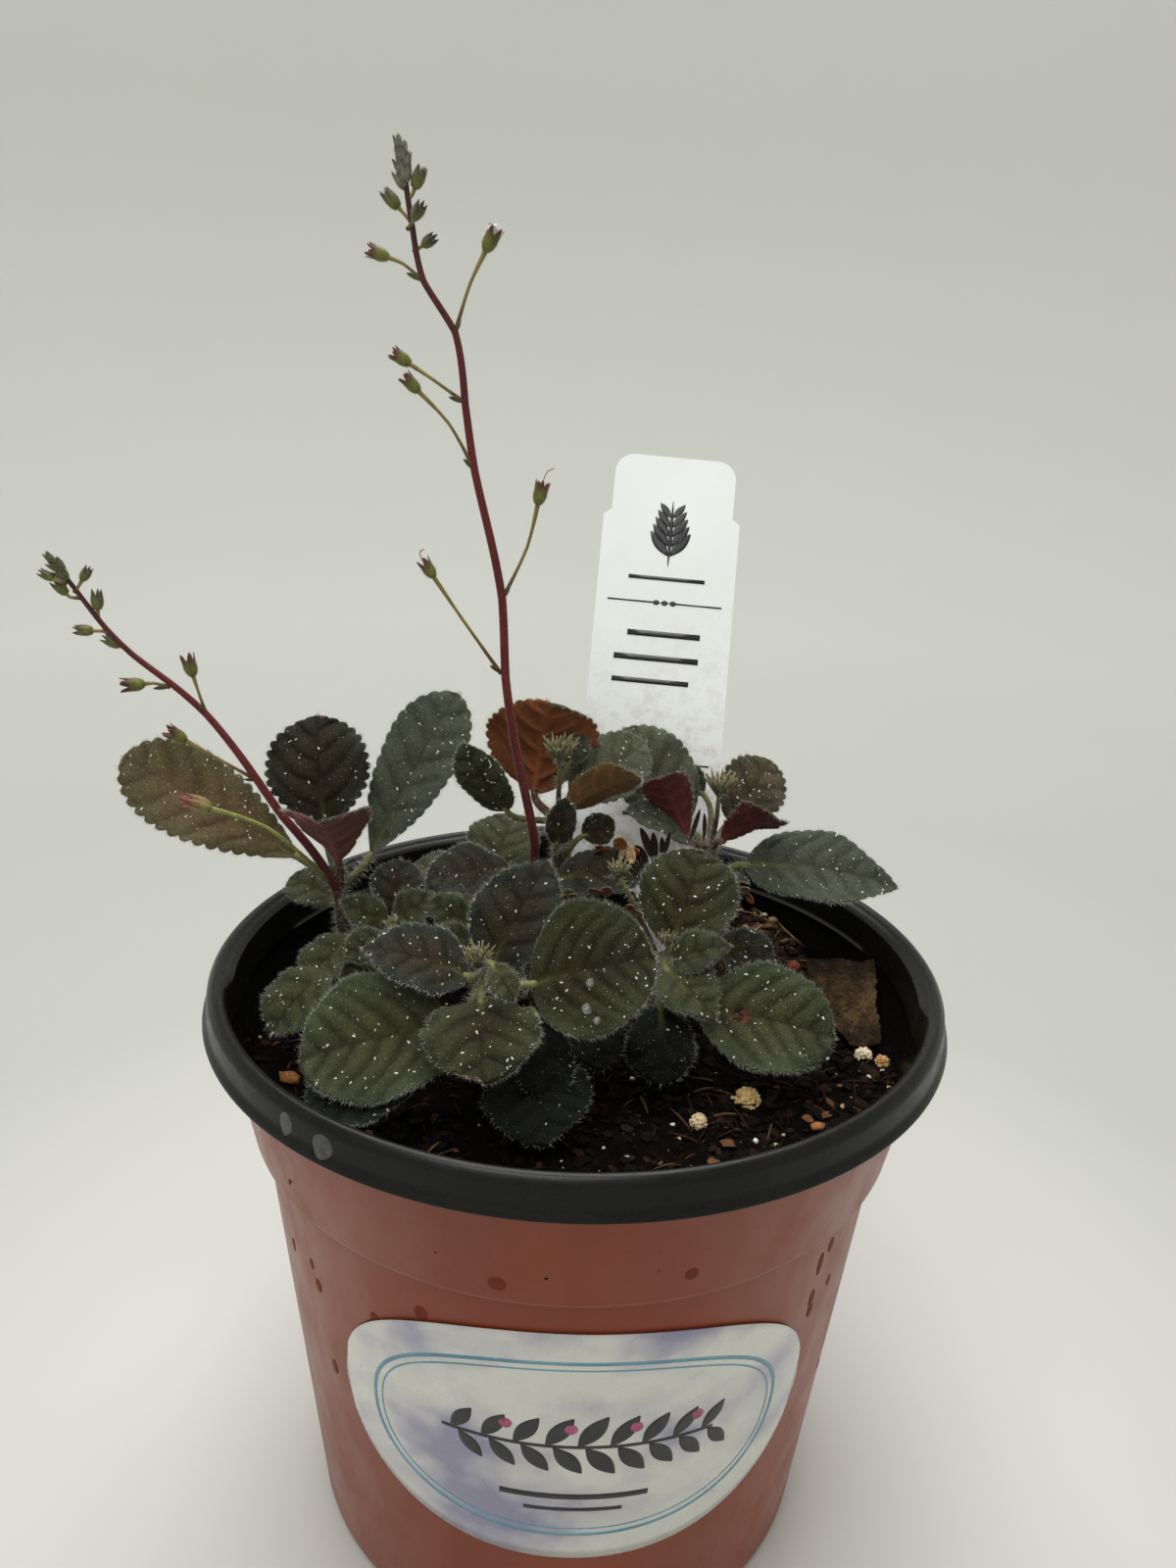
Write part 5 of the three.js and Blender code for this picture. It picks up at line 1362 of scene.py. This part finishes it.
def sticker_point(x, y, proud):
    """A point of the flat sticker, in millimetres from its middle, laid on the pot's wall."""
    u = x * math.cos(STICKER_TILT) - y * math.sin(STICKER_TILT)
    w = x * math.sin(STICKER_TILT) + y * math.cos(STICKER_TILT)
    return wall_point(STICKER_TURN + np.degrees(u / STICKER_RADIUS), STICKER_HEIGHT + w, proud)


silver = Finish("silver_film", Roughness=0.22, Metallic=0.15, Coat_Weight=0.4, Coat_Roughness=0.12)
# Painted reflection: the film's lilac grey grows paler towards its right side.
reflection_sweep = silver.maths("ADD", silver.noise(26, 3, (1, 1, 1.3)), silver.times(silver.axis("X"), 1.5))
silver_film = silver.use(
    Base_Color=silver.ramp(
        reflection_sweep, (0.35, (0.30, 0.29, 0.42)), (0.5, (0.58, 0.57, 0.59)), (0.62, (0.72, 0.72, 0.67))),
    Roughness=silver.drift(7, 5, 0.2, 0.36, (0.35, 0.7)),
    Normal=silver.bump(silver.noise(16, 2), 0.15, 0.4))
sticker = Piece()
film_edge = oval(STICKER_HALF_WIDTH, STICKER_HALF_HEIGHT)
add_patch(sticker, sticker_point, 72, 24, film_edge, STICKER_PROUD, 0.12)
show_piece("sticker_fine", sticker, [silver_film], "sticker_film", "pot_sticker")

blue_ink = two_tone("blue_ink", 12, 2, (0.10, 0.26, 0.36), (0.18, 0.38, 0.48), Roughness=0.3)
dark_ink = two_tone("dark_ink", 8, 2, (0.012, 0.012, 0.013), (0.03, 0.03, 0.032), Roughness=0.3)
pink_ink = two_tone("pink_ink", 3, 2, (0.32, 0.04, 0.12), (0.50, 0.10, 0.24), Roughness=0.3)
print_on_film = Piece()


def print_shape(outline, rows, columns, finish):
    add_patch(print_on_film, sticker_point, rows, columns, outline, PRINT_PROUD, 0.03, finish)


print_shape(border(43, 24.5, 0.8), 96, 1, BLUE)
print_shape(border(41, 22.5, 0.35), 96, 1, BLUE)
print_shape(bar(-27, 1.2, 54, 0.8), 40, 1, DARK)
for k in range(9):
    x = -25 + 6.2 * k
    size = 9.5 - 0.5 * abs(k - 4)
    print_shape(leaflet(x, 1.8, size, size * 0.42, 58), 10, 4, DARK)
    print_shape(leaflet(x + 1.5, 1.2, size, size * 0.42, -50), 10, 4, DARK)
    if k % 2:
        print_shape(oval(1.3, 1.3, 2, x + 4.5, 6.5), 8, 6, PINK)
print_shape(bar(-15, -13.5, 30, 1.5), 24, 1, DARK)
print_shape(bar(-10, -17, 20, 1.0), 20, 1, DARK)
show_piece("sticker_print", print_on_film, [blue_ink, dark_ink, pink_ink], "sticker_film")

# %% [markdown]
# The plant label is a white plastic stake that leans back behind the plant. It is one thin
# sheet whose half-width follows the stake's outline: a point in the mix, a shoulder, and a
# head with round corners. Its marks are plain rules and bars, with a small sprig at the top.

# %% Plant label
LABEL_FOOT = np.array([12.5, 19, 97.0])
LABEL_TOP = np.array([21, 87, 240.0])
LABEL_WIDTH = 36
LABEL_HEAD_WIDTH = 32
LABEL_LENGTH = 158
LABEL_POINT_LENGTH = 42
LABEL_SHOULDER = 17
LABEL_CORNER = 5

label_rise = unit(LABEL_TOP - LABEL_FOOT)
label_side = unit(np.array([1.0, 0, 0]) - label_rise * label_rise[0])
label_out = np.cross(label_side, label_rise)


def label_point(x, y, proud):
    x, y = np.asarray(x, float), np.asarray(y, float)
    bend = 0.25 * np.cos(np.pi * (y / LABEL_LENGTH - 0.5)) - 0.25
    return (LABEL_FOOT + x[..., None] * label_side + y[..., None] * label_rise
            + (proud + bend)[..., None] * label_out)


def label_half_width(y):
    corner = np.clip((y - (LABEL_LENGTH - LABEL_CORNER)) / LABEL_CORNER, 0, 1)
    head = LABEL_HEAD_WIDTH / 2 - LABEL_CORNER * (1 - np.sqrt(np.maximum(0, 1 - corner ** 2)))
    shoulder = LABEL_LENGTH - LABEL_SHOULDER
    body = np.interp(
        y, [0, LABEL_POINT_LENGTH, shoulder, shoulder + 1.5],
        [2, LABEL_WIDTH / 2, LABEL_WIDTH / 2, LABEL_HEAD_WIDTH / 2])
    return np.where(y > shoulder + 1.5, head, body)


def label_outline(a, b):
    below_top = [LABEL_LENGTH, 116, LABEL_SHOULDER, LABEL_SHOULDER - 1.5, LABEL_CORNER, 3, 1.4, 0.4, 0]
    y = LABEL_LENGTH - np.interp(a, [0, 0.25, 0.7, 0.75, 0.85, 0.9, 0.94, 0.97, 1], below_top)
    return label_half_width(y) * (2 * b - 1), y


card = Finish("white_card", Roughness=0.5, Specular_IOR_Level=0.4)
paper = card.drift(30, 3, (0.84, 0.86, 0.85), (0.90, 0.92, 0.91))
low = card.below(SOIL_HEIGHT + 3, 100)
rightwards = card.times(card.times(card.axis("X"), 22.0, True), 0.35)
soiled = card.times(card.maths("ADD", low, rightwards), low)
blots = card.drift(4, 6, 0.0, 1.0, (0.46, 0.66), rough=0.75)
stain = card.times(card.times(soiled, blots), 0.95, True)
white_card = card.use(
    Base_Color=card.mix(stain, paper, (0.24, 0.125, 0.055)), Normal=card.bump(card.noise(0.7, 2), 0.03))
label = Piece()
add_patch(label, label_point, 100, 12, label_outline, 0.0, 0.36)
show("label_fine", label.mesh("label_fine", [white_card], smooth=False), "label_plastic", "plant_label")

# %% Marks on the label
MARK_BARS = """
-9 109 19 1.5; -12 102.5 22 1.5; -12 96.5 20 1.3; -2 69 14 0.9; -6 62 18 0.9; -10 124.2 20 1.0
"""
marks = Piece()


def mark(outline, rows=2, columns=1):
    add_patch(marks, label_point, rows, columns, outline, 0.43, 0.03)


for y in (118, 76):
    mark(bar(-15, y, 12, 0.4))
    mark(bar(3, y, 12, 0.4))
    for k in (-1, 0, 1):
        mark(leaflet(k * 2.2 - 1.0, y + 0.2, 2.0, 1.4, 0), 6, 4)
for row, _ in written(MARK_BARS):
    mark(bar(*row), 4)
mark(leaflet(0, 128, 18, 1.0, 90), 10, 2)
for k in range(5):
    for side, turned in ((0.3, 52), (-0.3, 128)):
        mark(leaflet(side, 131 + 2.6 * k, 8 - 0.8 * k, 2.8 - 0.25 * k, turned), 8, 4)
show_piece("label_marks", marks, [dark_ink], "label_plastic")

# %% [markdown]
# The potting mix fills the pot to about two centimetres below the rim. Its top is a polar grid
# raised by the solid's own low humps, by a heap of loose bits against the wall, and by fractal
# noise. Crumbs, splinters, wood chips and white grit are then scattered on it with the grain
# tree.

# %% Potting mix
GAP = 0.3
SOIL_RELIEF = 1.1
SOIL_ROWS = 84
SOIL_COLUMNS = 216


def relief(x, y):
    fade = np.maximum(0, 1 - (np.hypot(x, y) / 74) ** 4)
    humps = np.sin(x / 9 + 1) * np.cos(y / 8) + 0.6 * np.sin(x / 5 - y / 6)
    return SOIL_RELIEF * humps * fade / 1.6


def heaped(x, y):
    """How near a place is to the heap of looser mix against the wall, behind the plant."""
    return np.exp(-((x - 47) ** 2 + (y - 50) ** 2) / 240)


def crumbled(x, y):
    low = noise.fractal(Vector((x / 9, y / 9, 3)), 0.8, 2.1, 5)
    return 1.4 * low * min(1, (73.5 - math.hypot(x, y)) / 6) + 8 * heaped(x, y)


inset = WALL + GAP
rim_radius = COLLAR_FOOT_RADIUS + 0.4
sides = [
    (0, inset), (BASE_RADIUS - 2.8, inset), (BASE_RADIUS - WALL - GAP - 0.1, 3.2),
    (WALL_TOP_RADIUS - WALL - GAP - 0.1, STEP_HEIGHT - 0.6),
    (COLLAR_FOOT_RADIUS - WALL - GAP - 0.1, STEP_HEIGHT + 1.4), (rim_radius, SOIL_HEIGHT),
]
inward = [(rim_radius * (1 - k / SOIL_ROWS), SOIL_HEIGHT) for k in range(1, SOIL_ROWS + 1)]
points, walls, caps = spun(np.array([*sides, *inward], float), SOIL_COLUMNS)
on_top = points[:, 2] > SOIL_HEIGHT - 0.01
for i in np.nonzero(on_top)[0]:
    x, y = points[i, :2]
    points[i, 2] += relief(x, y) + crumbled(x, y)
loose = heaped(points[:, 0], points[:, 1])
covered = 0.45 + 0.9 * np.clip((points[:, 0] + 15) / 55, 0, 1) + 1.5 * loose
soil = Piece()
soil.add(points, (walls, caps), dust=on_top * covered, shade=loose)

# The mix's colour is painted near black, darker than peat is, as the shade under the leaves; the loose heap
# against the wall is brown.
mix = Finish("potting_mix", Roughness=0.95, Specular_IOR_Level=0.04)
shaded_peat = mix.ramp(
    mix.noise(2.2, 6, rough=0.7), (0.35, (0.0016, 0.0013, 0.0011)), (0.6, (0.0045, 0.003, 0.0022)),
    (0.8, (0.014, 0.008, 0.005)))
brown = mix.drift(1.2, 5, (0.010, 0.006, 0.004), (0.065, 0.036, 0.018), (0.4, 0.65), rough=0.7)
potting_mix = mix.use(
    Base_Color=mix.mix(mix.value("shade"), shaded_peat, brown),
    Normal=mix.bump(mix.noise(0.9, 5, rough=0.7), 0.6, 0.9))
soil_data = soil.mesh("soil_fine", [potting_mix])
show("soil_fine", soil_data, "potting_mix", "soil")

# %% [markdown]
# A splinter is a short bent strip with square ends; a chip is a flattened stone. Four calls of
# the grain tree give the mix its texture, each with other shapes, sizes and tones.

# %% Crumbs, splinters, chips and grit
HEAP_TOP = (0.047, 0.050, 0.122)


def splinter(name, length, wide, thick, bend):
    form = bmesh.new()
    rings = []
    for k, taper in enumerate((0.45, 1, 1, 0.45)):
        x, z = length * (k / 3 - 0.5), bend * math.sin(math.pi * k / 3)
        rings.append([form.verts.new((x, sy * wide * taper, z + sz * thick * taper))
                      for sy, sz in ((-1, -1), (1, -1), (1, 1), (-1, 1))])
    for a, b in zip(rings, rings[1:]):
        for i in range(4):
            form.faces.new((a[i], b[i], b[(i + 1) % 4], a[(i + 1) % 4]))
    form.faces.new(rings[0])
    form.faces.new(rings[-1][::-1])
    bmesh.ops.recalc_face_normals(form, faces=form.faces)
    return formed(name, form)


def toned(name, middle, darkest, middling, palest, heap_glow=1.0):
    """A finish for strewn bits: a tone for each, paler by heap_glow times on the loose heap."""
    made = Finish(name, Roughness=0.85, Specular_IOR_Level=0.08)
    plain = made.ramp(made.value("tone"), (0.0, darkest), (middle, middling), (1.0, palest))
    coloured = made.tinted(plain, made.drift(0.8, 4, 0.55, 1.35))
    near = made.ramp(made.times(made.away(HEAP_TOP), 20.0), (0.25, 1.0), (0.55, 0.0))
    paler = made.tinted(coloured, (heap_glow, 0.93 * heap_glow, 0.85 * heap_glow))
    return made.use(
        Base_Color=made.mix(near, coloured, paler), Normal=made.bump(made.noise(0.5, 4), 0.2, 0.8))


# The crumbs are painted as dark as the shaded mix; heap_glow makes them paler on the heap.
crumb_brown = toned(
    "crumb_brown", 0.75, (0.002, 0.0016, 0.0013), (0.006, 0.004, 0.003), (0.028, 0.015, 0.008), 6)
fibre_brown = toned("fibre_brown", 0.75, (0.005, 0.003, 0.002), (0.025, 0.012, 0.006), (0.15, 0.09, 0.04), 3)
chip_brown = toned("chip_brown", 0.6, (0.004, 0.0025, 0.002), (0.022, 0.010, 0.005), (0.20, 0.09, 0.04), 2.5)
grit_white = toned("grit_white", 0.6, (0.30, 0.22, 0.12), (0.50, 0.42, 0.28), (0.74, 0.70, 0.58))
STREWN = [
    ("soil_crumbs", rough_grain("crumb", (1, 0.8, 0.7), 4, 0.35), crumb_brown, 0.25, 0.3, 1.9, 0.3, 21),
    ("soil_fibres", splinter("splinter", 9, 0.3, 0.2, 0.8), fibre_brown, 0.07, 0.2, 0.9, 0.9, 22),
    ("soil_chips", rough_grain("chip", (1.5, 0.9, 0.35), 6, 0.4), chip_brown, 0.03, 0.3, 1.8, 0.4, 23),
    ("soil_grit", rough_grain("grit", (1, 0.85, 0.8), 8, 0.3), grit_white, 0.02, 0.15, 0.85, 0.5, 24),
]
for name, *settings in STREWN:
    strew(name, soil_data, "potting_mix", *settings)

# %% [markdown]
# Some bits can be told one by one: flakes of orange bark, a red chip against the wall, white
# crumbs of perlite and thin twigs. They are the same rough stones and tubes, given in rows: a
# row is a place, a size and a colour.

# %% Single bits on the mix
COLOURS = {
    "orange": (0.36, 0.15, 0.05), "red": (0.24, 0.05, 0.03), "pale": (0.38, 0.24, 0.12),
    "pearl": (0.72, 0.69, 0.60), "twig": (0.05, 0.028, 0.016), "bark": (0.13, 0.075, 0.036),
    "amber": (0.42, 0.18, 0.05), "rusty": (0.16, 0.055, 0.02), "tan": (0.27, 0.19, 0.13),
    "soot": (0.016, 0.009, 0.006), "straw": (0.50, 0.33, 0.17),
}
BIT_TABLE = """
-60 -23 2.6 orange; 66.5 -2.1 1.9 orange; 50.5 -31.5 2.1 orange; 55.3 34 2.6 red; 25.9 -31.1 0.8 pearl
64.9 -13.4 0.9 pearl; 33.7 -14.4 0.7 pearl; 12.8 -17 0.8 pearl; 37.3 -36.9 0.9 pearl; 11.2 -44 0.7 pearl
57 -24 0.9 pale; 46 36 2.8 pale; 52 30 2.2 pale; 48 43 2.4 twig; 43 30 1.8 pale; 57 22 2 twig
-66 2 2.2 pale; -40 -50 1.5 orange; 20 -58 1.2 pale; 44 -46 1.4 twig; -10 66 2 pale; -52 40 1.8 orange
43 55 2.2 pale; 47 50 1.6 bark; 50 45 1.8 bark; 44 45 1.6 pale; 52 50 1.4 pale; 40 50 1.8 bark
54 42 1.6 bark; 48 57 1.6 bark; 46 40 1.2 pale; 56 36 1.3 bark; 41 60 2 bark; 50 53 1 pearl
"""
TWIGS = """
-69 3  -62 1  -56 4; -64 -9  -58 -6  -52 -9; 40 26  47 33  57 36; 44 42  50 35  52 26
30 -48  38 -45  45 -47; -30 60  -20 63  -12 60; 38 57  45 53  53 47; 46 61  49 52  46 44
52 53  55 46  60 42
"""
TWIG_TINTS = [COLOURS[shade] for shade in ("twig", "bark", "pale", "twig")]
GROUND_OF_BITS = SOIL_HEIGHT + 0.6


def ground(x, y):
    return GROUND_OF_BITS + float(relief(x, y)) + crumbled(x, y)


litter = Piece()
for order, ((x, y, size), words) in enumerate(written(BIT_TABLE)):
    stone = rough_grain("bit", (1, 0.7, 0.45), 40 + order, 0.3).data
    corners = np.array([v.co[:] for v in stone.vertices]) * size
    turn = Matrix.Rotation(1.7 * order, 3, "Z") @ Matrix.Rotation(0.5, 3, "X")
    corners = corners @ np.array(turn).T + (x, y, ground(x, y) + 0.2 * size)
    litter.add(corners, [list(f.vertices) for f in stone.polygons], tint=COLOURS[words[0]])
for numbers, _ in written(TWIGS):
    path = [(x, y, ground(x, y) + 0.5) for x, y in zip(numbers[::2], numbers[1::2])]
    add_tube(litter, smooth_path(path, 1.0), [0.15, 0.32, 0.25, 0.1], TWIG_TINTS, 6, 0, finish=0)
bark = Finish("litter_bits", Roughness=0.85, Specular_IOR_Level=0.15)
grainy = bark.drift(0.7, 4, 0.5, 1.35)
litter_bits = bark.use(
    Base_Color=bark.tinted(bark.value("tint", "Color"), grainy),
    Normal=bark.bump(bark.noise(0.5, 4), 0.2, 0.8))
show_piece("soil_litter", litter, [litter_bits], "potting_mix")

# %% [markdown]
# Dried flowers and bud scales have caught between the leaves, orange and tan in the middle and
# nearly black under the right shoot. Each scrap is a small curled petal: a row is its place,
# which way and how far it reaches, its width and its colour.

# %% Dried remains among the leaves
SCRAP_TABLE = """
8 14 156  1.6 -1 5  3.4 amber; 10 14 155  3.4 -1 3  2.8 amber; 10 13 158  2.6 -1 -3.4  3 straw
6 13 156  -2.8 0 2.4  1.6 rusty; 11 14 157  3.5 -1 -2.5  1.6 rusty; 7 13 156  -3.5 0 1.5  1.3 rusty
9 13 157  0.5 -2 -2.5  1.5 tan; 9 14 157  -1.6 -1 2.6  1.4 tan; 5 12 156  -2.5 0 0.4  0.9 soot
13 14 162  3.5 0 -5.5  2 soot; 16 14 161  1.5 0 -7  2 soot; 18 14 160  1.5 0 -6.5  1.6 soot
12 13 158  4 -1 -4  3 soot; 20 15 161  -1 0 -7  1.2 soot; 27 20 165  -1.5 -1 -7  1.1 soot
28 20 164  1 -1 -6  1 soot; 4 -3 152  -1.5 -1 4  2.8 tan; 5 -3 152  1.8 -1 4  2.6 tan
4.5 -2 152  0.2 -2 3.5  2.6 rusty; -3 -5 151  -1 -1 4.5  2.4 tan; -2 -5 151  1.5 -1 4  2.4 tan
10 -3 148  2 -1 4  2.4 tan; 10.5 -3 148  3.5 -1 2  2.2 tan; 9.5 -3 148  -1 -1 4  2 rusty
11 -3 147  2 -2 -3  2 tan; 36 6 150  2 -1 3  2.2 tan; 37 6 150  2.5 -1 -1  2 rusty
"""
remains = Piece()
for numbers, words in written(SCRAP_TABLE):
    add_petal(remains, numbers[:3], numbers[3:6], numbers[6], COLOURS[words[0]], 0.5, finish=0)
show_piece("dried_remains", remains, [litter_bits], "leaf")

# %% [markdown]
# Four larger grains of perlite lie on the mix at the right, puffed and stained ochre. Each is a
# fine sphere pushed in and out by noise, as popped volcanic glass is.

# %% Perlite
PERLITE = {
    "perlite_front": (37, -24, 2.8, (0.72, 0.50, 0.20)), "perlite_right": (65.4, -5, 2.1, (0.85, 0.80, 0.60)),
    "perlite_side": (69.4, -6.6, 1.7, (0.60, 0.30, 0.09)),
    "perlite_middle": (26, -32, 1.9, (0.62, 0.52, 0.36)),
}
round_grain, grain_faces = ball(5)


def puffed(piece, centre, radius, tint, seed):
    soft = [noise.fractal(Vector(p) * 2.4 + Vector((seed, 2, 0)), 0.6, 2.2, 4) for p in round_grain]
    cells = [noise.voronoi(Vector(p) * 2.6 + Vector((0, seed, 0)))[0][0] for p in round_grain]
    scale = 1 + 0.10 * np.array(soft) - 0.38 * (np.array(cells) - 0.3)
    spots = np.array(centre) + round_grain * (radius * np.clip(scale, 0.62, 1.15))[:, None]
    piece.add(spots, grain_faces, tint=tint)


grain = Finish("stained_perlite", Roughness=0.8, Specular_IOR_Level=0.3)
stained = grain.ramp(
    grain.noise(1.9, 5, rough=0.65), (0.34, (0.16, 0.07, 0.02)), (0.45, (0.46, 0.27, 0.09)),
    (0.56, (0.66, 0.52, 0.28)), (0.7, (0.78, 0.72, 0.55)))
stained_perlite = grain.use(
    Base_Color=grain.mix(0.5, stained, grain.value("tint", "Color")),
    Normal=grain.bump(grain.noise(0.6, 4), 0.25, 0.8))
perlite = Piece()
for order, (x, y, radius, tint) in enumerate(PERLITE.values()):
    height = SOIL_HEIGHT + float(relief(x, y)) + radius * 0.35
    puffed(perlite, (x, y, height), radius, tint, order)
show_piece("perlite_fine", perlite, [stained_perlite], "perlite", *PERLITE)

# %% [markdown]
# A dead leaf leans on the wall at the right: brown, crumpled, with a torn lower corner. The
# sheet's edges wander with noise, and sharp low folds are added across it.

# %% Dry leaf
DRY_CORNER = np.array([52, -3, 117.4])
DRY_SIDE = unit(np.array([1, 0, 0.02]))
DRY_RISE = unit(np.array([0.12, 0.82, 0.56]))
DRY_UP = unit(np.cross(DRY_SIDE, DRY_RISE))
DRY_BREADTH = 17.5
DRY_LENGTH = 22
DRY_ROWS, DRY_COLUMNS = 46, 38
TORN_WIDTH, TORN_HEIGHT = 0.62, 0.46


def wander(x, y, seed):
    return noise.fractal(Vector((x, y, seed)), 0.7, 2.0, 4)


def dry_point(a, b):
    """A point of the dead leaf, at shares a and b of its breadth and its length."""
    left = TORN_WIDTH * max(0, 1 - b / TORN_HEIGHT) ** 0.7 + 0.035 * wander(b * 16, 0, 2)
    right_edge = 1 + 0.045 * wander(b * 14, 5, 3)
    across = left + (right_edge - left) * a
    along = b + 0.025 * wander(a * 14, 9, 5) * (b - 0.5) * 2
    fold = 0.55 * abs(math.sin(3.1 * across + 2.2 * along)) + 0.7 * wander(across * 2.2, along * 2.4, 8)
    return (
        DRY_CORNER + DRY_SIDE * (across * DRY_BREADTH * (1 - 0.08 * b) + 0.25 * math.sin(10.2 * b))
        + DRY_RISE * (along * DRY_LENGTH + 0.25 * math.sin(12.6 * across + 1))
        + DRY_UP * (0.6 * math.sin(7.8 * across + 5.4 * along) + 0.5 * fold - 0.2))


dry_grid = np.array([[dry_point(i / DRY_COLUMNS, j / DRY_ROWS) for i in range(DRY_COLUMNS + 1)]
                     for j in range(DRY_ROWS + 1)])
if grid_normals(dry_grid)[DRY_ROWS // 2, DRY_COLUMNS // 2] @ DRY_UP < 0:
    dry_grid = dry_grid[:, ::-1]
points, faces, _, _ = sheet(dry_grid, 0.14, 0.14)
band = np.interp(np.linspace(0, 1, DRY_ROWS + 1), [0, 0.3, 0.75, 0.87, 1], [0.55, 1, 1.15, 0.5, 0.45])
dry = Piece()
dry.add(points, faces, shade=np.tile(np.repeat(band, DRY_COLUMNS + 1), 2))
dead = Finish("dead_leaf", Roughness=0.85, Specular_IOR_Level=0.12)
browns = dead.ramp(
    dead.noise(4.5, 5, rough=0.65), (0.36, (0.012, 0.008, 0.005)), (0.52, (0.050, 0.030, 0.014)),
    (0.66, (0.115, 0.066, 0.026)))
browns = dead.tinted(browns, dead.value("shade"))
fine = dead.drift(0.5, 3, 0.45, 1.5, (0.35, 0.7), rough=0.7)
crumple = dead.bump(dead.noise(1.5, 4), 0.5, 0.9)
dead_leaf = dead.use(
    Base_Color=dead.tinted(browns, fine), Normal=dead.bump(dead.noise(0.5, 3), 0.3, 0.8, Normal=crumple))
show_piece("dry_leaf_fine", dry, [dead_leaf], "dry_leaf", "dry_leaf")

# %% [markdown]
# A pale stage: a floor that curves up into a wall all round, so that every side of the plant
# has the same quiet background. Its colour is painted paler round the pot, as a pool of light,
# and paler again up the wall. The main light is a broad panel above and behind, which makes the
# hairs glow and leaves the near faces in soft shade.

# %% Stage and light
STAGE_RADIUS = 1.35
STAGE_HEIGHT = 1.5
STAGE_BEND = 0.55
STAGE_COLUMNS = 96

flat = STAGE_RADIUS - STAGE_BEND
curve = [(flat + STAGE_BEND * math.sin(a), STAGE_BEND * (1 - math.cos(a)))
         for a in np.linspace(0, np.pi / 2, 14)]
wall_top = [(STAGE_RADIUS, STAGE_HEIGHT), (STAGE_RADIUS, STAGE_HEIGHT + 0.001)]
points, walls, caps = spun(np.array([(0, 0), (0.3, 0), *curve, *wall_top]), STAGE_COLUMNS)
stage_data = bpy.data.meshes.new("stage")
stage_faces = walls[:, ::-1].tolist() + caps[:STAGE_COLUMNS, ::-1].tolist()
stage_data.from_pydata(points.tolist(), [], stage_faces)
stage_data.polygons.foreach_set("use_smooth", [True] * len(stage_data.polygons))
pale = Finish("pale_backdrop", Roughness=0.9, Specular_IOR_Level=0.1)
# Painted pool of light: the floor is paler round the pot, and the wall is paler than the outer floor.
backdrop = pale.ramp(
    pale.away((0, 0, 0)), (0.10, (0.60, 0.60, 0.575)), (0.26, (0.45, 0.455, 0.425)),
    (0.5, (0.44, 0.445, 0.415)), (0.95, (0.525, 0.53, 0.495)))
backdrop = pale.mix(pale.times(pale.noise(90, 3), 0.08), backdrop, (0.40, 0.40, 0.37))
stage_data.materials.append(pale.use(Base_Color=backdrop))
stage = put("stage", stage_data)


def panel(name, place, size, power, aim=(0, 0, 0.15)):
    light = bpy.data.lights.new(name, "AREA")
    light.shape = "SQUARE"
    light.size = size
    light.energy = power
    put(name, light).matrix_world = Matrix.Translation(place) @ (
        (Vector(aim) - Vector(place)).to_track_quat("-Z", "Y").to_matrix().to_4x4())


panel("back_panel", (-0.05, 0.55, 1.35), 1.0, 15)
panel("top_panel", (-0.2, -0.5, 1.35), 0.8, 9)
world = bpy.data.worlds.new("room")
bpy.context.scene.world = world
world.use_nodes = True
room = world.node_tree.nodes["Background"].inputs
room["Color"].default_value = (1, 0.99, 0.95, 1)
room["Strength"].default_value = 0.47
bpy.context.scene.view_settings.view_transform = "Standard"
print("stage ready, lit by", len(bpy.data.lights), "panels and a pale room")
